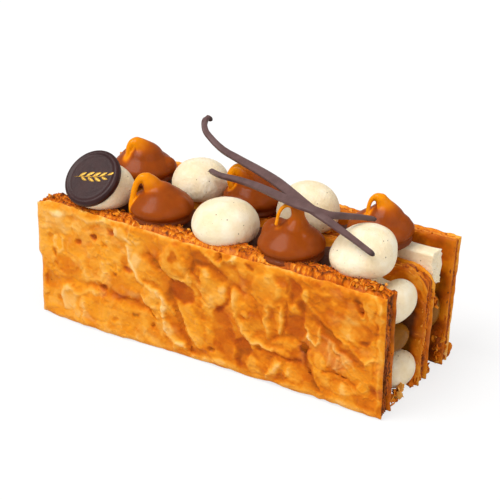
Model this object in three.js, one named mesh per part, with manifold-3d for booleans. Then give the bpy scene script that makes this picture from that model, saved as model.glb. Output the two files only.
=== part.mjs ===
// A mille-feuille slice laid on its side: three upright sheets of caramelised puff pastry, rows of
// piped vanilla cream and caramel between them, ten piped kisses along the top, a chocolate medallion
// and two crossed chocolate pods. Millimetres, +Z up. While it is put together, x runs from the left end
// of the slice, y from the outer face of the front sheet and z from the surface it stands on. At the end
// the whole is centred on its own footprint.
import * as THREE from 'three';
import { mergeVertices } from 'three/addons/utils/BufferGeometryUtils.js';
import Module from 'manifold-3d';

const wasm = await Module();
wasm.setup();

// Driving sizes
const LENGTH = 120; // of each pastry sheet
const SHEET_HEIGHT = 38.2; // of the cut sheets, as they stand on edge
const CLEARANCE = 0.35; // between pieces that rest against each other
const KISS_BASE = SHEET_HEIGHT + CLEARANCE; // level that the piped kisses sit on

const FRONT_SHEET = { face: 0, thickness: 6.8, lean: 0, height: SHEET_HEIGHT };
const MIDDLE_SHEET = { face: 22.2, thickness: 6.6, lean: 2.8, height: SHEET_HEIGHT - 0.2 };
const BACK_SHEET = { face: 37.2, thickness: 4.7, lean: 4.6, height: SHEET_HEIGHT + 0.6 };

const LAYER_DEPTH = 0.8; // how far the pastry's softer layers stand back at a cut edge
const BLISTER_HEIGHT = 0.9; // of the bubbles and folds in the caramelised skin

const PASTRY = new THREE.MeshStandardMaterial({ color: 0xe08a35, roughness: 0.5, metalness: 0 });
const CREAM = new THREE.MeshStandardMaterial({ color: 0xf3e7c9, roughness: 0.6, metalness: 0 });
const CARAMEL = new THREE.MeshStandardMaterial({ color: 0xa8521d, roughness: 0.25, metalness: 0 });
const CHOCOLATE = new THREE.MeshStandardMaterial({ color: 0x4a3236, roughness: 0.4, metalness: 0 });

const slice = new THREE.Group();

// ----------------------------------------------------------------------------------------------------
// Shared tools

const smoothstep = THREE.MathUtils.smoothstep;
const lerp = THREE.MathUtils.lerp;

// A gentle uneven wave between -1 and 1 over two directions, different for each seed.
function unevenness(a, b, seed) {
  return (
    0.5 * Math.sin(a + 1.3 * seed) * Math.cos(0.8 * b + 2.1 * seed) +
    0.3 * Math.sin(1.9 * a - 1.1 * b + 0.7 * seed) +
    0.2 * Math.cos(2.7 * a + 1.7 * b + 3.3 * seed)
  );
}

function toSolid(geometry) {
  const bare = geometry.clone();
  bare.deleteAttribute('normal');
  bare.deleteAttribute('uv');
  const { attributes, index } = mergeVertices(bare, 1e-3);
  const triVerts = new Uint32Array(index.array);
  const mesh = new wasm.Mesh({ numProp: 3, vertProperties: attributes.position.array, triVerts });
  return new wasm.Manifold(mesh);
}

function toGeometry(solid) {
  const { vertProperties, triVerts } = solid.getMesh();
  const geometry = new THREE.BufferGeometry();
  geometry.setAttribute('position', new THREE.BufferAttribute(vertProperties, 3));
  geometry.setIndex(new THREE.BufferAttribute(triVerts, 1));
  return geometry;
}

function addPiece(name, geometry, material) {
  const piece = new THREE.Mesh(geometry, material);
  piece.name = name;
  slice.add(piece);
}

// A closed skin. place(t, angle) gives the point at t, from 0 at one closed end to 1 at the other, and at
// an angle round it. It has to shrink to one point at both ends.
function closedSkin(sides, steps, place) {
  const geometry = new THREE.SphereGeometry(1, sides, steps);
  const { position, uv } = geometry.attributes;
  for (let i = 0; i < position.count; i += 1) {
    position.setXYZ(i, ...place(1 - uv.getY(i), 2 * Math.PI * uv.getX(i)));
  }
  return geometry;
}

// A closed skin along a curve. outline(t, angle) gives how far it stands out to the side and up there.
function loft(curve, outline, sides, steps, side) {
  return closedSkin(sides, steps, (t, angle) => {
    const along = curve.getTangent(t);
    const across = side.clone().addScaledVector(along, -side.dot(along)).normalize();
    const up = new THREE.Vector3().crossVectors(across, along);
    const [out, rise] = outline(t, angle);
    return curve.getPoint(t).addScaledVector(across, out).addScaledVector(up, rise);
  });
}

// Half-width, from 0 to 1, of a strip whose two ends are rounded off over the given share of its length.
function roundedEnds(t, share) {
  const fromEnd = Math.min(t, 1 - t) / share;
  return fromEnd >= 1 ? 1 : Math.sqrt(1 - (1 - fromEnd) ** 2);
}

// ----------------------------------------------------------------------------------------------------
// Pastry sheets: puff pastry baked flat under a weight, caramelised, cut into strips and stood on edge.
// The skin is blistered and folded, and the cut edges show the layers.

// Long folds in the front sheet's skin, each from one point of the face to another, in x and z.
const FRONT_FOLDS = [
  { from: [47, 28], to: [60, 21], width: 4.5, depth: 1.1 },
  { from: [50, 22], to: [58, 3], width: 3.2, depth: 1.2 },
  { from: [62, 33], to: [81, 20], width: 3.4, depth: 1.1 },
  { from: [70, 27], to: [77, 9], width: 3.6, depth: 1.2 },
  { from: [90, 35], to: [93, 20], width: 5.0, depth: 1.0 },
  { from: [93, 17], to: [99, 4], width: 2.6, depth: 1.2 },
  { from: [99, 26], to: [115, 16], width: 2.4, depth: 1.1 },
  { from: [80, 11], to: [93, 11], width: 2.2, depth: 0.7 },
  { from: [3, 13], to: [37, 14], width: 2.8, depth: 0.7 },
  { from: [20, 32], to: [35, 24], width: 2.8, depth: 0.6 },
];

function foldDepth(x, z) {
  let depth = 0;
  for (const { from, to, width, depth: deepest } of FRONT_FOLDS) {
    const run = [to[0] - from[0], to[1] - from[1]];
    const share = ((x - from[0]) * run[0] + (z - from[1]) * run[1]) / (run[0] ** 2 + run[1] ** 2);
    const near = THREE.MathUtils.clamp(share, 0, 1);
    const away = Math.hypot(x - from[0] - near * run[0], z - from[1] - near * run[1]);
    depth = Math.max(depth, deepest * Math.exp(-((away / width) ** 2)));
  }
  return depth;
}

// Bends a plain box of cells into a sheet. Across its thickness, share runs from 0 in front to 1 behind.
function pastrySheet({ face, thickness, lean, height }, cells, seed, trims) {
  const [alongCells, layerCells, upCells] = cells;
  const box = new THREE.BoxGeometry(LENGTH, thickness, height, alongCells, layerCells, upCells);
  const { position } = box.attributes;
  for (let i = 0; i < position.count; i += 1) {
    const x = position.getX(i) + LENGTH / 2;
    const share = position.getY(i) / thickness + 0.5;
    const z = position.getZ(i) + height / 2;
    const rise = z / height;
    const atEnd = x < 1e-3 ? -1 : Number(x > LENGTH - 1e-3);
    // Every second row of cells is a softer layer, which stands back from the cut.
    const layer = 0.5 - 0.5 * Math.cos(Math.PI * layerCells * share);
    const endRelief = LAYER_DEPTH * layer * (0.8 + 0.4 * unevenness(6 * share, z / 3, seed));
    const onTop = rise > 0.999 ? 1 : 0;
    const topRelief = onTop * LAYER_DEPTH * layer * (0.8 + 0.5 * unevenness(6 * share, x / 4, seed));
    const corner = trims.corner(x) * smoothstep(rise, 0.55, 1);
    const skin = share < 1e-3 ? trims.skin(x, z) : 0;
    position.setXYZ(
      i,
      x - atEnd * endRelief,
      face + lean * rise + thickness * share + skin + trims.bow(x, rise),
      z - topRelief - corner,
    );
  }
  return box;
}

// A lump of broken flakes stuck to a sheet, as a squashed and uneven ball.
function flakeLump([x, y, z], [halfX, halfY, halfZ], seed) {
  const lump = new THREE.IcosahedronGeometry(1, 1);
  const { position } = lump.attributes;
  for (let i = 0; i < position.count; i += 1) {
    const [a, b, c] = [position.getX(i), position.getY(i), position.getZ(i)];
    const swell = 1 + 0.22 * unevenness(3 * a + c, 3 * b - c, seed);
    const flatZ = Math.max(0, z + halfZ * c * swell);
    position.setXYZ(i, x + halfX * a * swell, y + halfY * b * swell, flatZ);
  }
  return toSolid(lump);
}

// The front skin also swells outwards near its left bottom corner.
const frontSwell = (x, z) => 1.8 * Math.exp(-(((x - 22) / 20) ** 2) - (z / 20) ** 2);
const frontSkin = (x, z) =>
  foldDepth(x, z) - BLISTER_HEIGHT * Math.max(0, unevenness(x / 5, z / 4, 1)) - frontSwell(x, z);
const plainSkin = (seed) => (x, z) => BLISTER_HEIGHT * 0.5 * unevenness(x / 6, z / 5, seed);

// The front sheet bellies out a little along its top, and its left top corner is rounded off.
const frontBow = (x, rise) => -1.6 * rise * Math.sin((Math.PI * x) / LENGTH) ** 2;
const frontCorner = (x) => 1.6 * (1 - smoothstep(x, 0, 6)) ** 2 + 0.6 * smoothstep(x, 80, LENGTH);
// The middle sheet has lost its top right corner.
const middleCorner = (x) => 7.5 * smoothstep(x, 104, LENGTH) + 2 * (1 - smoothstep(x, 0, 6));

const frontTrims = { skin: frontSkin, bow: frontBow, corner: frontCorner };
const frontBox = pastrySheet(FRONT_SHEET, [36, 6, 12], 1, frontTrims);
const frontLump = flakeLump([116.8, 9.6, 1.4], [3.2, 4.8, 2.3], 2);
addPiece('pastry_front', toGeometry(toSolid(frontBox).add(frontLump)), PASTRY);

const noBow = () => 0;
const noCorner = () => 0;
const middleTrims = { skin: plainSkin(4), bow: noBow, corner: middleCorner };
addPiece('pastry_middle', pastrySheet(MIDDLE_SHEET, [15, 6, 7], 3, middleTrims), PASTRY);

const backTrims = { skin: () => 0, bow: noBow, corner: noCorner };
addPiece('pastry_back', pastrySheet(BACK_SHEET, [15, 4, 7], 5, backTrims), PASTRY);

// ----------------------------------------------------------------------------------------------------
// Fillings: six piped rows, three between each pair of sheets. A row is a ball at each end with a plain
// core between, pressed flat against the sheets on both sides.

const ROW_SIDES = 12;
const ROW_STEPS = 14;
const BALL_STEPS = 0.42; // share of the steps that the ball at each end takes
const innerFace = (sheet, z) => sheet.face + sheet.thickness + (sheet.lean * z) / sheet.height + CLEARANCE;
const outerFace = (sheet, z) => sheet.face + (sheet.lean * z) / sheet.height - CLEARANCE;

function fillingRow(before, after, { height, halfHeight, ballLength, overhang, core }, seed) {
  const start = -overhang;
  const end = LENGTH + overhang;
  const ballShare = ballLength / (end - start);
  const roundness = (t) => {
    const fromEnd = Math.min(t, 1 - t) / ballShare;
    if (fromEnd >= 1) return core;
    return Math.max(fromEnd > 0.5 ? core : 0, Math.sqrt(1 - (2 * fromEnd - 1) ** 2));
  };
  // The steps crowd into the two end balls, where the shape is.
  const crowded = (t) => {
    const fromEnd = Math.min(t, 1 - t);
    const pastBall = (fromEnd - BALL_STEPS) / (0.5 - BALL_STEPS);
    const eased = pastBall < 0 ? (fromEnd / BALL_STEPS) * ballShare : lerp(ballShare, 0.5, pastBall);
    return t < 0.5 ? eased : 1 - eased;
  };
  return closedSkin(ROW_SIDES, ROW_STEPS, (step, angle) => {
    const t = crowded(step);
    const swell = roundness(t) * (1 + 0.05 * unevenness(2 * Math.sin(angle), 9 * t, seed));
    const z = height - halfHeight * Math.sin(angle) * swell;
    const [near, far] = [innerFace(before, z), outerFace(after, z)];
    const y = (near + far) / 2 + 0.62 * (far - near) * Math.cos(angle) * swell;
    return [lerp(start, end, t), THREE.MathUtils.clamp(y, near, far), z];
  });
}

const FRONT_ROWS = [
  { name: 'cream_row_front_top', height: 32.2, halfHeight: 5.7, ballLength: 14, overhang: 0.2, core: 0.84 },
  { name: 'caramel_row_front', height: 21.2, halfHeight: 4.6, ballLength: 12, overhang: -0.6, core: 0.8 },
  { name: 'cream_row_front_bottom', height: 10.2, halfHeight: 6.0, ballLength: 14, overhang: 0.6, core: 0.8 },
];
const BACK_ROWS = [
  { name: 'cream_row_back_top', height: 32.6, halfHeight: 5.2, ballLength: 12, overhang: -1.8, core: 0.84 },
  { name: 'caramel_row_back', height: 20.8, halfHeight: 5.4, ballLength: 12, overhang: -2.2, core: 0.8 },
  { name: 'cream_row_back_bottom', height: 8.6, halfHeight: 5.6, ballLength: 12, overhang: -1.4, core: 0.8 },
];
const fillingMaterial = (name) => (name.startsWith('cream') ? CREAM : CARAMEL);
FRONT_ROWS.forEach((row, i) => {
  addPiece(row.name, fillingRow(FRONT_SHEET, MIDDLE_SHEET, row, 11 + i), fillingMaterial(row.name));
});
BACK_ROWS.forEach((row, i) => {
  addPiece(row.name, fillingRow(MIDDLE_SHEET, BACK_SHEET, row, 21 + i), fillingMaterial(row.name));
});

// ----------------------------------------------------------------------------------------------------
// Kisses: piped straight down from a plain round nozzle. Cream ones end in a low cap. Caramel ones are
// pulled up to a neck, which falls over to the left as a thin tail.

const KISS_SIDES = 16;
const TAIL_RADIUS = { root: 1.9, tip: 0.7 };
// Radius and height of each kind of kiss, as shares of its full radius and height.
const CREAM_PROFILE = [
  [0, 0], [0.68, 0], [0.93, 0.13], [1, 0.32], [0.95, 0.54], [0.78, 0.77], [0.48, 0.93], [0.18, 0.99],
  [0, 1],
];
const caramelProfile = (neckShare) => [
  [0, 0], [0.78, 0], [0.93, 0.1], [1, 0.24], [0.97, 0.36], [0.87, 0.48], [0.69, 0.6],
  [lerp(0.69, neckShare, 0.6), 0.71], [neckShare, 0.82], [0.8 * neckShare, 0.92],
  [0.4 * neckShare, 0.98], [0, 1],
];

function kissBody({ x, y, radius, height, neck = [x, y] }, profile, seed) {
  const steps = profile.length - 1;
  return closedSkin(KISS_SIDES, steps, (step, angle) => {
    const [wide, rise] = profile[Math.round(step * steps)];
    const lean = smoothstep(rise, 0.25, 0.95);
    const dent = 0.035 * unevenness(2 * Math.cos(angle), 2 * Math.sin(angle) + rise, seed);
    const r = radius * wide * (1 + dent);
    const [midX, midY] = [lerp(x, neck[0], lean), lerp(y, neck[1], lean)];
    return [midX + r * Math.cos(angle), midY - r * Math.sin(angle), KISS_BASE + height * rise];
  });
}

// The tail leaves the neck as a thick strand, bends over at its crest and thins out down to its tip.
function kissTail({ neck, height, tail }) {
  const [crest] = tail;
  const root = new THREE.Vector3(neck[0], neck[1], KISS_BASE + height - 2.2);
  const shoulder = new THREE.Vector3(neck[0], neck[1], crest[2]).lerp(new THREE.Vector3(...crest), 0.35);
  const bend = tail.map((point) => new THREE.Vector3(...point));
  const curl = new THREE.CatmullRomCurve3([root, shoulder, ...bend]);
  const outline = (t, angle) => {
    const r = lerp(TAIL_RADIUS.root, TAIL_RADIUS.tip, Math.sqrt(t)) * roundedEnds(t, 0.08);
    return [r * Math.cos(angle), r * Math.sin(angle)];
  };
  return loft(curl, outline, 8, 12, new THREE.Vector3(crest[1] - neck[1], neck[0] - crest[0], 0));
}

const CREAM_KISSES = [
  { name: 'cream_kiss_1', x: 18.2, y: 9.8, radius: 9.6, height: 11.2 },
  { name: 'cream_kiss_2', x: 39.6, y: 30.4, radius: 8.9, height: 11.4 },
  { name: 'cream_kiss_3', x: 63.0, y: 8.6, radius: 10.0, height: 11.2 },
  { name: 'cream_kiss_4', x: 79.4, y: 29.0, radius: 10.0, height: 13.2 },
  { name: 'cream_kiss_5', x: 105.0, y: 12.0, radius: 9.8, height: 12.2, neck: [106.4, 13.6] },
];
// The tail's points are its crest, its outermost point on the way down and its tip.
const CARAMEL_KISSES = [
  {
    name: 'caramel_kiss_1', x: 17.4, y: 31.0, radius: 9.7, height: 12.4, neck: [17.2, 30.7], neckWidth: 3.0,
    tail: [[14.9, 29.2, 50.4], [13.3, 27.4, 46.6], [13.6, 26.4, 43.4]],
  },
  {
    name: 'caramel_kiss_2', x: 39.6, y: 9.8, radius: 9.9, height: 12.6, neck: [36.6, 8.0], neckWidth: 4.0,
    tail: [[34.1, 6.3, 51.1], [32.6, 5.2, 47.0], [31.8, 4.7, 41.4]],
  },
  {
    name: 'caramel_kiss_3', x: 58.2, y: 30.8, radius: 9.2, height: 13.2, neck: [55.4, 29.2], neckWidth: 3.2,
    tail: [[53.5, 28.0, 52.0], [52.5, 27.0, 49.0], [52.4, 26.4, 45.6]],
  },
  {
    name: 'caramel_kiss_4', x: 84.3, y: 9.2, radius: 9.9, height: 14.2, neck: [86.0, 10.2], neckWidth: 1.8,
    tail: [[83.8, 8.8, 52.9], [81.6, 7.4, 51.8], [81.0, 7.0, 47.6]],
  },
  {
    name: 'caramel_kiss_5', x: 100.6, y: 31.6, radius: 9.8, height: 13.8, neck: [101.2, 31.8], neckWidth: 2.0,
    tail: [[99.2, 30.6, 52.4], [97.9, 29.6, 49.4], [97.5, 28.8, 44.6]],
  },
];

// ----------------------------------------------------------------------------------------------------
// Medallion: a moulded chocolate disc with a raised rim. It leans back on the first cream kiss, which it
// dents.

const DISC_SIDES = 24;
const DISC = {
  radius: 9.9,
  thickness: 2.6,
  rounding: 0.7, // of the outer edge
  rim: 1.5, // width of the raised rim
  recess: 0.45, // depth of the face inside the rim
  centre: [18.0, 5.0, 47.2],
  facing: [-0.07, -0.68, 0.73],
};

// Turns an outline of radii and heights about the disc's axis. Height 0 is the front of the rim.
function roundTheDisc(outline) {
  const turned = new THREE.LatheGeometry(outline.map(([r, h]) => new THREE.Vector2(r, h)), DISC_SIDES);
  const facing = new THREE.Vector3(...DISC.facing).normalize();
  turned.applyQuaternion(new THREE.Quaternion().setFromUnitVectors(new THREE.Vector3(0, 1, 0), facing));
  turned.translate(...DISC.centre);
  return turned;
}

function medallion() {
  const { radius, thickness, rounding, rim, recess } = DISC;
  return roundTheDisc([
    [0, -thickness], [radius - rounding, -thickness], [radius - 0.2, -thickness + 0.4],
    [radius, -thickness / 2], [radius - 0.2, -0.4], [radius - rounding, 0], [radius - rim, -recess / 2],
    [radius - 1.5 * rim, -recess], [0, -recess],
  ]);
}

// The room that the medallion takes out of the kiss behind it, open to the front.
function medallionRoom() {
  const [wide, back, front] = [DISC.radius + CLEARANCE, -DISC.thickness - CLEARANCE, DISC.radius];
  return roundTheDisc([[0, back], [wide, back], [wide, front], [0, front]]);
}

CREAM_KISSES.forEach((kiss, i) => {
  let body = toSolid(kissBody(kiss, CREAM_PROFILE, 31 + i));
  if (kiss.name === 'cream_kiss_1') body = body.subtract(toSolid(medallionRoom()));
  addPiece(kiss.name, toGeometry(body), CREAM);
});
CARAMEL_KISSES.forEach((kiss, i) => {
  const profile = caramelProfile(kiss.neckWidth / kiss.radius);
  const body = toSolid(kissBody(kiss, profile, 41 + i)).add(toSolid(kissTail(kiss)));
  addPiece(kiss.name, toGeometry(body), CARAMEL);
});
addPiece('chocolate_medallion', medallion(), CHOCOLATE);

// ----------------------------------------------------------------------------------------------------
// Chocolate pods: two tapered strips of piped chocolate, crossed and set as one piece. The long one
// curls up at its left end. They lie on the peaks of the kisses.

const POD_THICKNESS = 1.9;
// Across the pods' broad faces, which turn a little to the front.
const POD_FACING = new THREE.Vector3(0.42, 0.8, 0.42);
const LONG_POD = {
  width: 4.2,
  waist: 0.6, // where it is widest, as a share of its length
  points: [
    [41.4, 34.2, 61.2], [40.3, 33.2, 62.1], [40.7, 30.8, 61.4], [42.0, 29.4, 59.7], [44.6, 28.8, 57.8],
    [49.0, 27.4, 56.2], [56.4, 24.8, 55.6], [65.8, 20.6, 55.8], [75.8, 15.3, 56.2], [85.1, 9.3, 56.4],
    [92.4, 5.3, 56.1], [98.2, 4.4, 54.4], [105.6, 4.6, 51.1], [113.4, 5.0, 47.2],
  ],
};
const SHORT_POD = {
  width: 3.6,
  waist: 0.6,
  points: [
    [45.9, 26.0, 48.9], [52.4, 21.6, 49.9], [60.7, 18.2, 51.3], [71.5, 13.2, 53.3], [81.9, 7.6, 55.6],
    [88.0, 5.4, 56.2], [93.7, 4.6, 56.1], [97.8, 6.0, 55.1], [100.8, 10.8, 53.6], [103.2, 16.1, 51.8],
    [104.6, 21.8, 49.4],
  ],
};

function pod({ width, waist, points }, sides, steps) {
  const curve = new THREE.CatmullRomCurve3(points.map((p) => new THREE.Vector3(...p)));
  const outline = (t, angle) => {
    const taper = t < waist ? lerp(0.6, 1, smoothstep(t, 0, waist)) : lerp(1, 0.5, smoothstep(t, waist, 1));
    const round = roundedEnds(t, 0.03);
    return [0.5 * width * taper * round * Math.cos(angle), 0.5 * POD_THICKNESS * round * Math.sin(angle)];
  };
  return loft(curve, outline, sides, steps, POD_FACING);
}

const pods = toSolid(pod(LONG_POD, 8, 26)).add(toSolid(pod(SHORT_POD, 8, 18)));
addPiece('chocolate_pods', toGeometry(pods), CHOCOLATE);

// The origin is the middle of the footprint, on the surface that the slice stands on.
const reach = new THREE.Box3().setFromObject(slice);
const middle = reach.getCenter(new THREE.Vector3());
slice.position.set(-middle.x, -middle.y, -reach.min.z);
slice.updateMatrixWorld(true);

export default slice;
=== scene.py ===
# A mille-feuille slice lying on its side: three upright sheets of caramelised puff pastry with rows of
# piped vanilla cream and caramel between them, ten kisses on top, a medallion and two chocolate pods.
import itertools
import math

import bpy
import numpy as np
from mathutils import Matrix, Vector


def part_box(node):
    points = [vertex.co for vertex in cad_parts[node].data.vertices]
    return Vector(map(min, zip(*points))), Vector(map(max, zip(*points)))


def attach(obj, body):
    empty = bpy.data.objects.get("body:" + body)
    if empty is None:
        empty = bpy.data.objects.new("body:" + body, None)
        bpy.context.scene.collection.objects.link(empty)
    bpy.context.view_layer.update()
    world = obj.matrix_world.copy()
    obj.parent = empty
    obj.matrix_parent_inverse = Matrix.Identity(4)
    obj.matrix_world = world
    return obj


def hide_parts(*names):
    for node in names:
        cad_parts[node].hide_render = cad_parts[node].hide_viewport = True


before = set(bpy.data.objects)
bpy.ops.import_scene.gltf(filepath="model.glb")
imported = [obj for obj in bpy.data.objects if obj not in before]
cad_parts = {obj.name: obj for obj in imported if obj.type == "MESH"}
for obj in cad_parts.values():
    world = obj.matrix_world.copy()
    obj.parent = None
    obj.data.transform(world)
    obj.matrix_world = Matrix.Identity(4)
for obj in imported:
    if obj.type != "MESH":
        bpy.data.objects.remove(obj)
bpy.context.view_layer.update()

# ----------------------------------------------------------------------------------------------------
# The setting: a plain white table, a large soft light from the upper left in front, a reflector on the
# right, a pale surround that fills the shadows, and a camera that looks down from the slice's right.

CAMERA_PLACE = (0.23570, -0.36959, 0.23891)
CAMERA_YAW, CAMERA_ELEVATION, CAMERA_ROLL = np.radians((32.2184, 25.7092, 0.6492))
CAMERA_LENS = 117.37
SURROUND_COLOUR, SURROUND_LIGHT = (1.0, 0.99, 0.98, 1), 0.45
# Name, strength, spread in degrees, colour, and the direction that the light comes from.
LIGHTS = [
    ("soft_sun", 2.6, 42, (1.0, 0.99, 0.975), (-0.42, -0.60, 1.05)),
    ("reflector", 0.85, 70, (1.0, 1.0, 1.0), (0.90, -0.22, 0.40)),
]
TABLE_HALF, TABLE_TOP = 2.0, -2e-4


def camera_turn(yaw, elevation, roll):
    """The camera's axes: its back points away from the slice at that yaw and elevation, and its right
    and up are turned about it by the roll."""
    level = math.cos(elevation)
    back = Vector((math.sin(yaw) * level, -math.cos(yaw) * level, math.sin(elevation)))
    right = Vector((0, 0, 1)).cross(back).normalized()
    up = back.cross(right)
    turned_right = math.cos(roll) * right + math.sin(roll) * up
    turned_up = math.cos(roll) * up - math.sin(roll) * right
    return Matrix((turned_right, turned_up, back)).transposed().to_4x4()


scene = bpy.context.scene
camera = bpy.data.objects.new("camera", bpy.data.cameras.new("camera"))
camera.data.lens = CAMERA_LENS
camera.data.sensor_width = 36
camera.data.clip_start = 0.01
turn = camera_turn(CAMERA_YAW, CAMERA_ELEVATION, CAMERA_ROLL)
camera.matrix_world = Matrix.Translation(CAMERA_PLACE) @ turn
scene.collection.objects.link(camera)
scene.camera = camera
scene.view_settings.view_transform = "Standard"

scene.world = bpy.data.worlds.new("surround")
scene.world.use_nodes = True
surround = scene.world.node_tree.nodes["Background"].inputs
surround["Color"].default_value = SURROUND_COLOUR
surround["Strength"].default_value = SURROUND_LIGHT

for name, strength, spread, colour, source in LIGHTS:
    light = bpy.data.objects.new(name, bpy.data.lights.new(name, "SUN"))
    light.data.energy = strength
    light.data.angle = math.radians(spread)
    light.data.color = colour
    light.matrix_world = Vector(source).to_track_quat("Z", "Y").to_matrix().to_4x4()
    scene.collection.objects.link(light)


def srgb(code):
    """The linear colour of a six-digit sRGB code."""
    channels = np.array([int(code[i:i + 2], 16) for i in (0, 2, 4)]) / 255
    linear = np.where(channels <= 0.04045, channels / 12.92, ((channels + 0.055) / 1.055) ** 2.4)
    return tuple(float(c) for c in linear)


class Wire:
    """A socket of a material's nodes. Arithmetic on wires and numbers adds Math nodes."""

    def __init__(self, tree, socket=None):
        self.tree = tree
        self.socket = socket

    def node(self, kind, settings=None, inputs=None, output=0):
        """Adds a node: its settings, then the values or wires of its inputs. Gives one output."""
        made = self.tree.nodes.new("ShaderNode" + kind)
        for key, value in (settings or {}).items():
            if key == "stops":
                while len(made.color_ramp.elements) < len(value):
                    made.color_ramp.elements.new(0.5)
                for stop, (place, code) in zip(made.color_ramp.elements, value):
                    stop.position = place
                    stop.color = (*srgb(code), 1)
            else:
                setattr(made, key, value)
        for key, value in (inputs or {}).items():
            if isinstance(value, Wire):
                self.tree.links.new(value.socket, made.inputs[key])
            elif made.inputs[key].type == "RGBA":
                made.inputs[key].default_value = (*value, 1)
            else:
                made.inputs[key].default_value = value
        return Wire(self.tree, made.outputs[output])

    def math(self, operation, *values, clamp=False):
        settings = {"operation": operation, "use_clamp": clamp}
        return self.node("Math", settings, dict(enumerate((self, *values))))

    def __add__(self, other):
        return self.math("ADD", other)

    def __sub__(self, other):
        return self.math("SUBTRACT", other)

    def __mul__(self, other):
        return self.math("MULTIPLY", other)

    def __rsub__(self, other):
        return self.node("Math", {"operation": "SUBTRACT"}, {0: other, 1: self})

    __radd__, __rmul__ = __add__, __mul__

    def held(self):
        """Kept between 0 and 1."""
        return self.math("MULTIPLY", 1.0, clamp=True)

    def step(self, low, high):
        """0 below low, 1 above high and smooth between them."""
        settings = {"interpolation_type": "SMOOTHSTEP"}
        return self.node("MapRange", settings, {"Value": self, "From Min": low, "From Max": high})

    def ramp(self, *stops):
        """The colour at this height of a ramp, whose stops are heights and sRGB codes."""
        return self.node("ValToRGB", {"stops": stops}, {"Fac": self})

    def tint(self, code, share):
        """This colour turned towards an sRGB code by a share."""
        settings = {"data_type": "RGBA", "clamp_factor": True}
        return self.node("Mix", settings, {0: share, 6: self, 7: srgb(code)}, 2)

    def read(self, attribute):
        """The number that the mesh holds at each point under that name."""
        return self.node("Attribute", {"attribute_name": attribute}, output="Fac")


table_mesh = bpy.data.meshes.new("table")
corners = [(x * TABLE_HALF, y * TABLE_HALF, TABLE_TOP) for x, y in ((-1, -1), (1, -1), (1, 1), (-1, 1))]
table_mesh.from_pydata(corners, [], [(0, 1, 2, 3)])
table = bpy.data.objects.new("table", table_mesh)
scene.collection.objects.link(table)
table_paint = bpy.data.materials.new("white_table")
table_paint.use_nodes = True
table_mesh.materials.append(table_paint)
matt = table_paint.node_tree.nodes["Principled BSDF"]
matt.inputs["Base Color"].default_value = (0.62, 0.62, 0.62, 1)
matt.inputs["Roughness"].default_value = 0.8
# What the camera sees is a backlit white sheet, which keeps only a faint shadow.
paint = Wire(table_paint.node_tree, matt.outputs[0])
glow = paint.node("Emission", inputs={"Strength": 1.0})
white = paint.node("BsdfDiffuse", inputs={"Color": (0.95, 0.95, 0.95)})
backlit = paint.node("MixShader", inputs={0: 0.25, 1: glow, 2: white})
camera_ray = paint.node("LightPath", output="Is Camera Ray")
seen = paint.node("MixShader", inputs={0: camera_ray, 1: paint, 2: backlit})
paint.tree.links.new(seen.socket, paint.tree.nodes["Material Output"].inputs["Surface"])

# ----------------------------------------------------------------------------------------------------
# Front pastry sheet, outer skin: the sugar-glazed face of puff pastry that was baked flat under a
# weight. It is blistered, folded and cracked, amber to toasted orange, and about a millimetre thick.

LENGTH = 120.0  # of each sheet, in millimetres
HEIGHT = 38.2  # of the front sheet as it stands on edge
# Millimetres from the left end, from the outer face of the front sheet and from the table become metres
# about the middle of the footprint. The back sheet's far corner says how far that is.
back_corner = np.array(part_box("pastry_back")[1]) * 1000
SHEETS_DEEP = 46.5  # from the outer face of the front sheet to the back sheet's far corner
TO_MIDDLE = np.array((back_corner[0] - LENGTH, back_corner[1] - SHEETS_DEEP, 0.0))


def smooth(value, low, high):
    """0 below low, 1 above high and 3t^2 - 2t^3 between them."""
    t = np.clip((value - low) / (high - low), 0, 1)
    return t * t * (3 - 2 * t)


def lattice(x, y, z, seed):
    """Uneven values between -1 and 1: a fixed random value at each whole-number corner, blended along
    each axis by 3t^2 - 2t^3."""
    x, y, z = np.broadcast_arrays(x, y, z)
    whole = [np.floor(a).astype(np.int64) for a in (x, y, z)]
    ease = [(a - w) ** 2 * (3 - 2 * (a - w)) for a, w in zip((x, y, z), whole)]
    total = np.zeros(x.shape)
    for corner in itertools.product((0, 1), repeat=3):
        i, j, k = (w + c for w, c in zip(whole, corner))
        key = i * 374761393 + j * 668265263 + k * 2147483629 + seed * 974711
        key = (key ^ (key >> 13)) * 1274126177
        key = key ^ (key >> 16)
        value = (key & 0xFFFF) / 32767.5 - 1
        share = 1.0
        for c, e in zip(corner, ease):
            share = share * (e if c else 1 - e)
        total += share * value
    return total


def crumple(x, y, z, seed, octaves=4, fall=0.5):
    """A sum of lattices, each twice as fine as the last and weaker by the given share."""
    total = 0.0
    strength = 1.0
    for octave in range(octaves):
        size = 2.0**octave
        total = total + strength * lattice(x * size, y * size, z * size, seed + 17 * octave)
        strength *= fall
    return total


def outwards(points, faces):
    """The faces, turned over if the volume that they enclose is negative."""
    volume = 0.0
    for part in faces:
        first = points[part[:, 0]]
        for k in range(1, part.shape[1] - 1):
            volume += np.einsum("ij,ij->", first, np.cross(points[part[:, k]], points[part[:, k + 1]]))
    return faces if volume > 0 else [part[:, ::-1] for part in faces]


def new_mesh(name, points, faces):
    """A mesh from points in millimetres and arrays of faces."""
    mesh = bpy.data.meshes.new(name)
    mesh.from_pydata((points / 1000).tolist(), [], [row for part in faces for row in part.tolist()])
    return mesh


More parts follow.
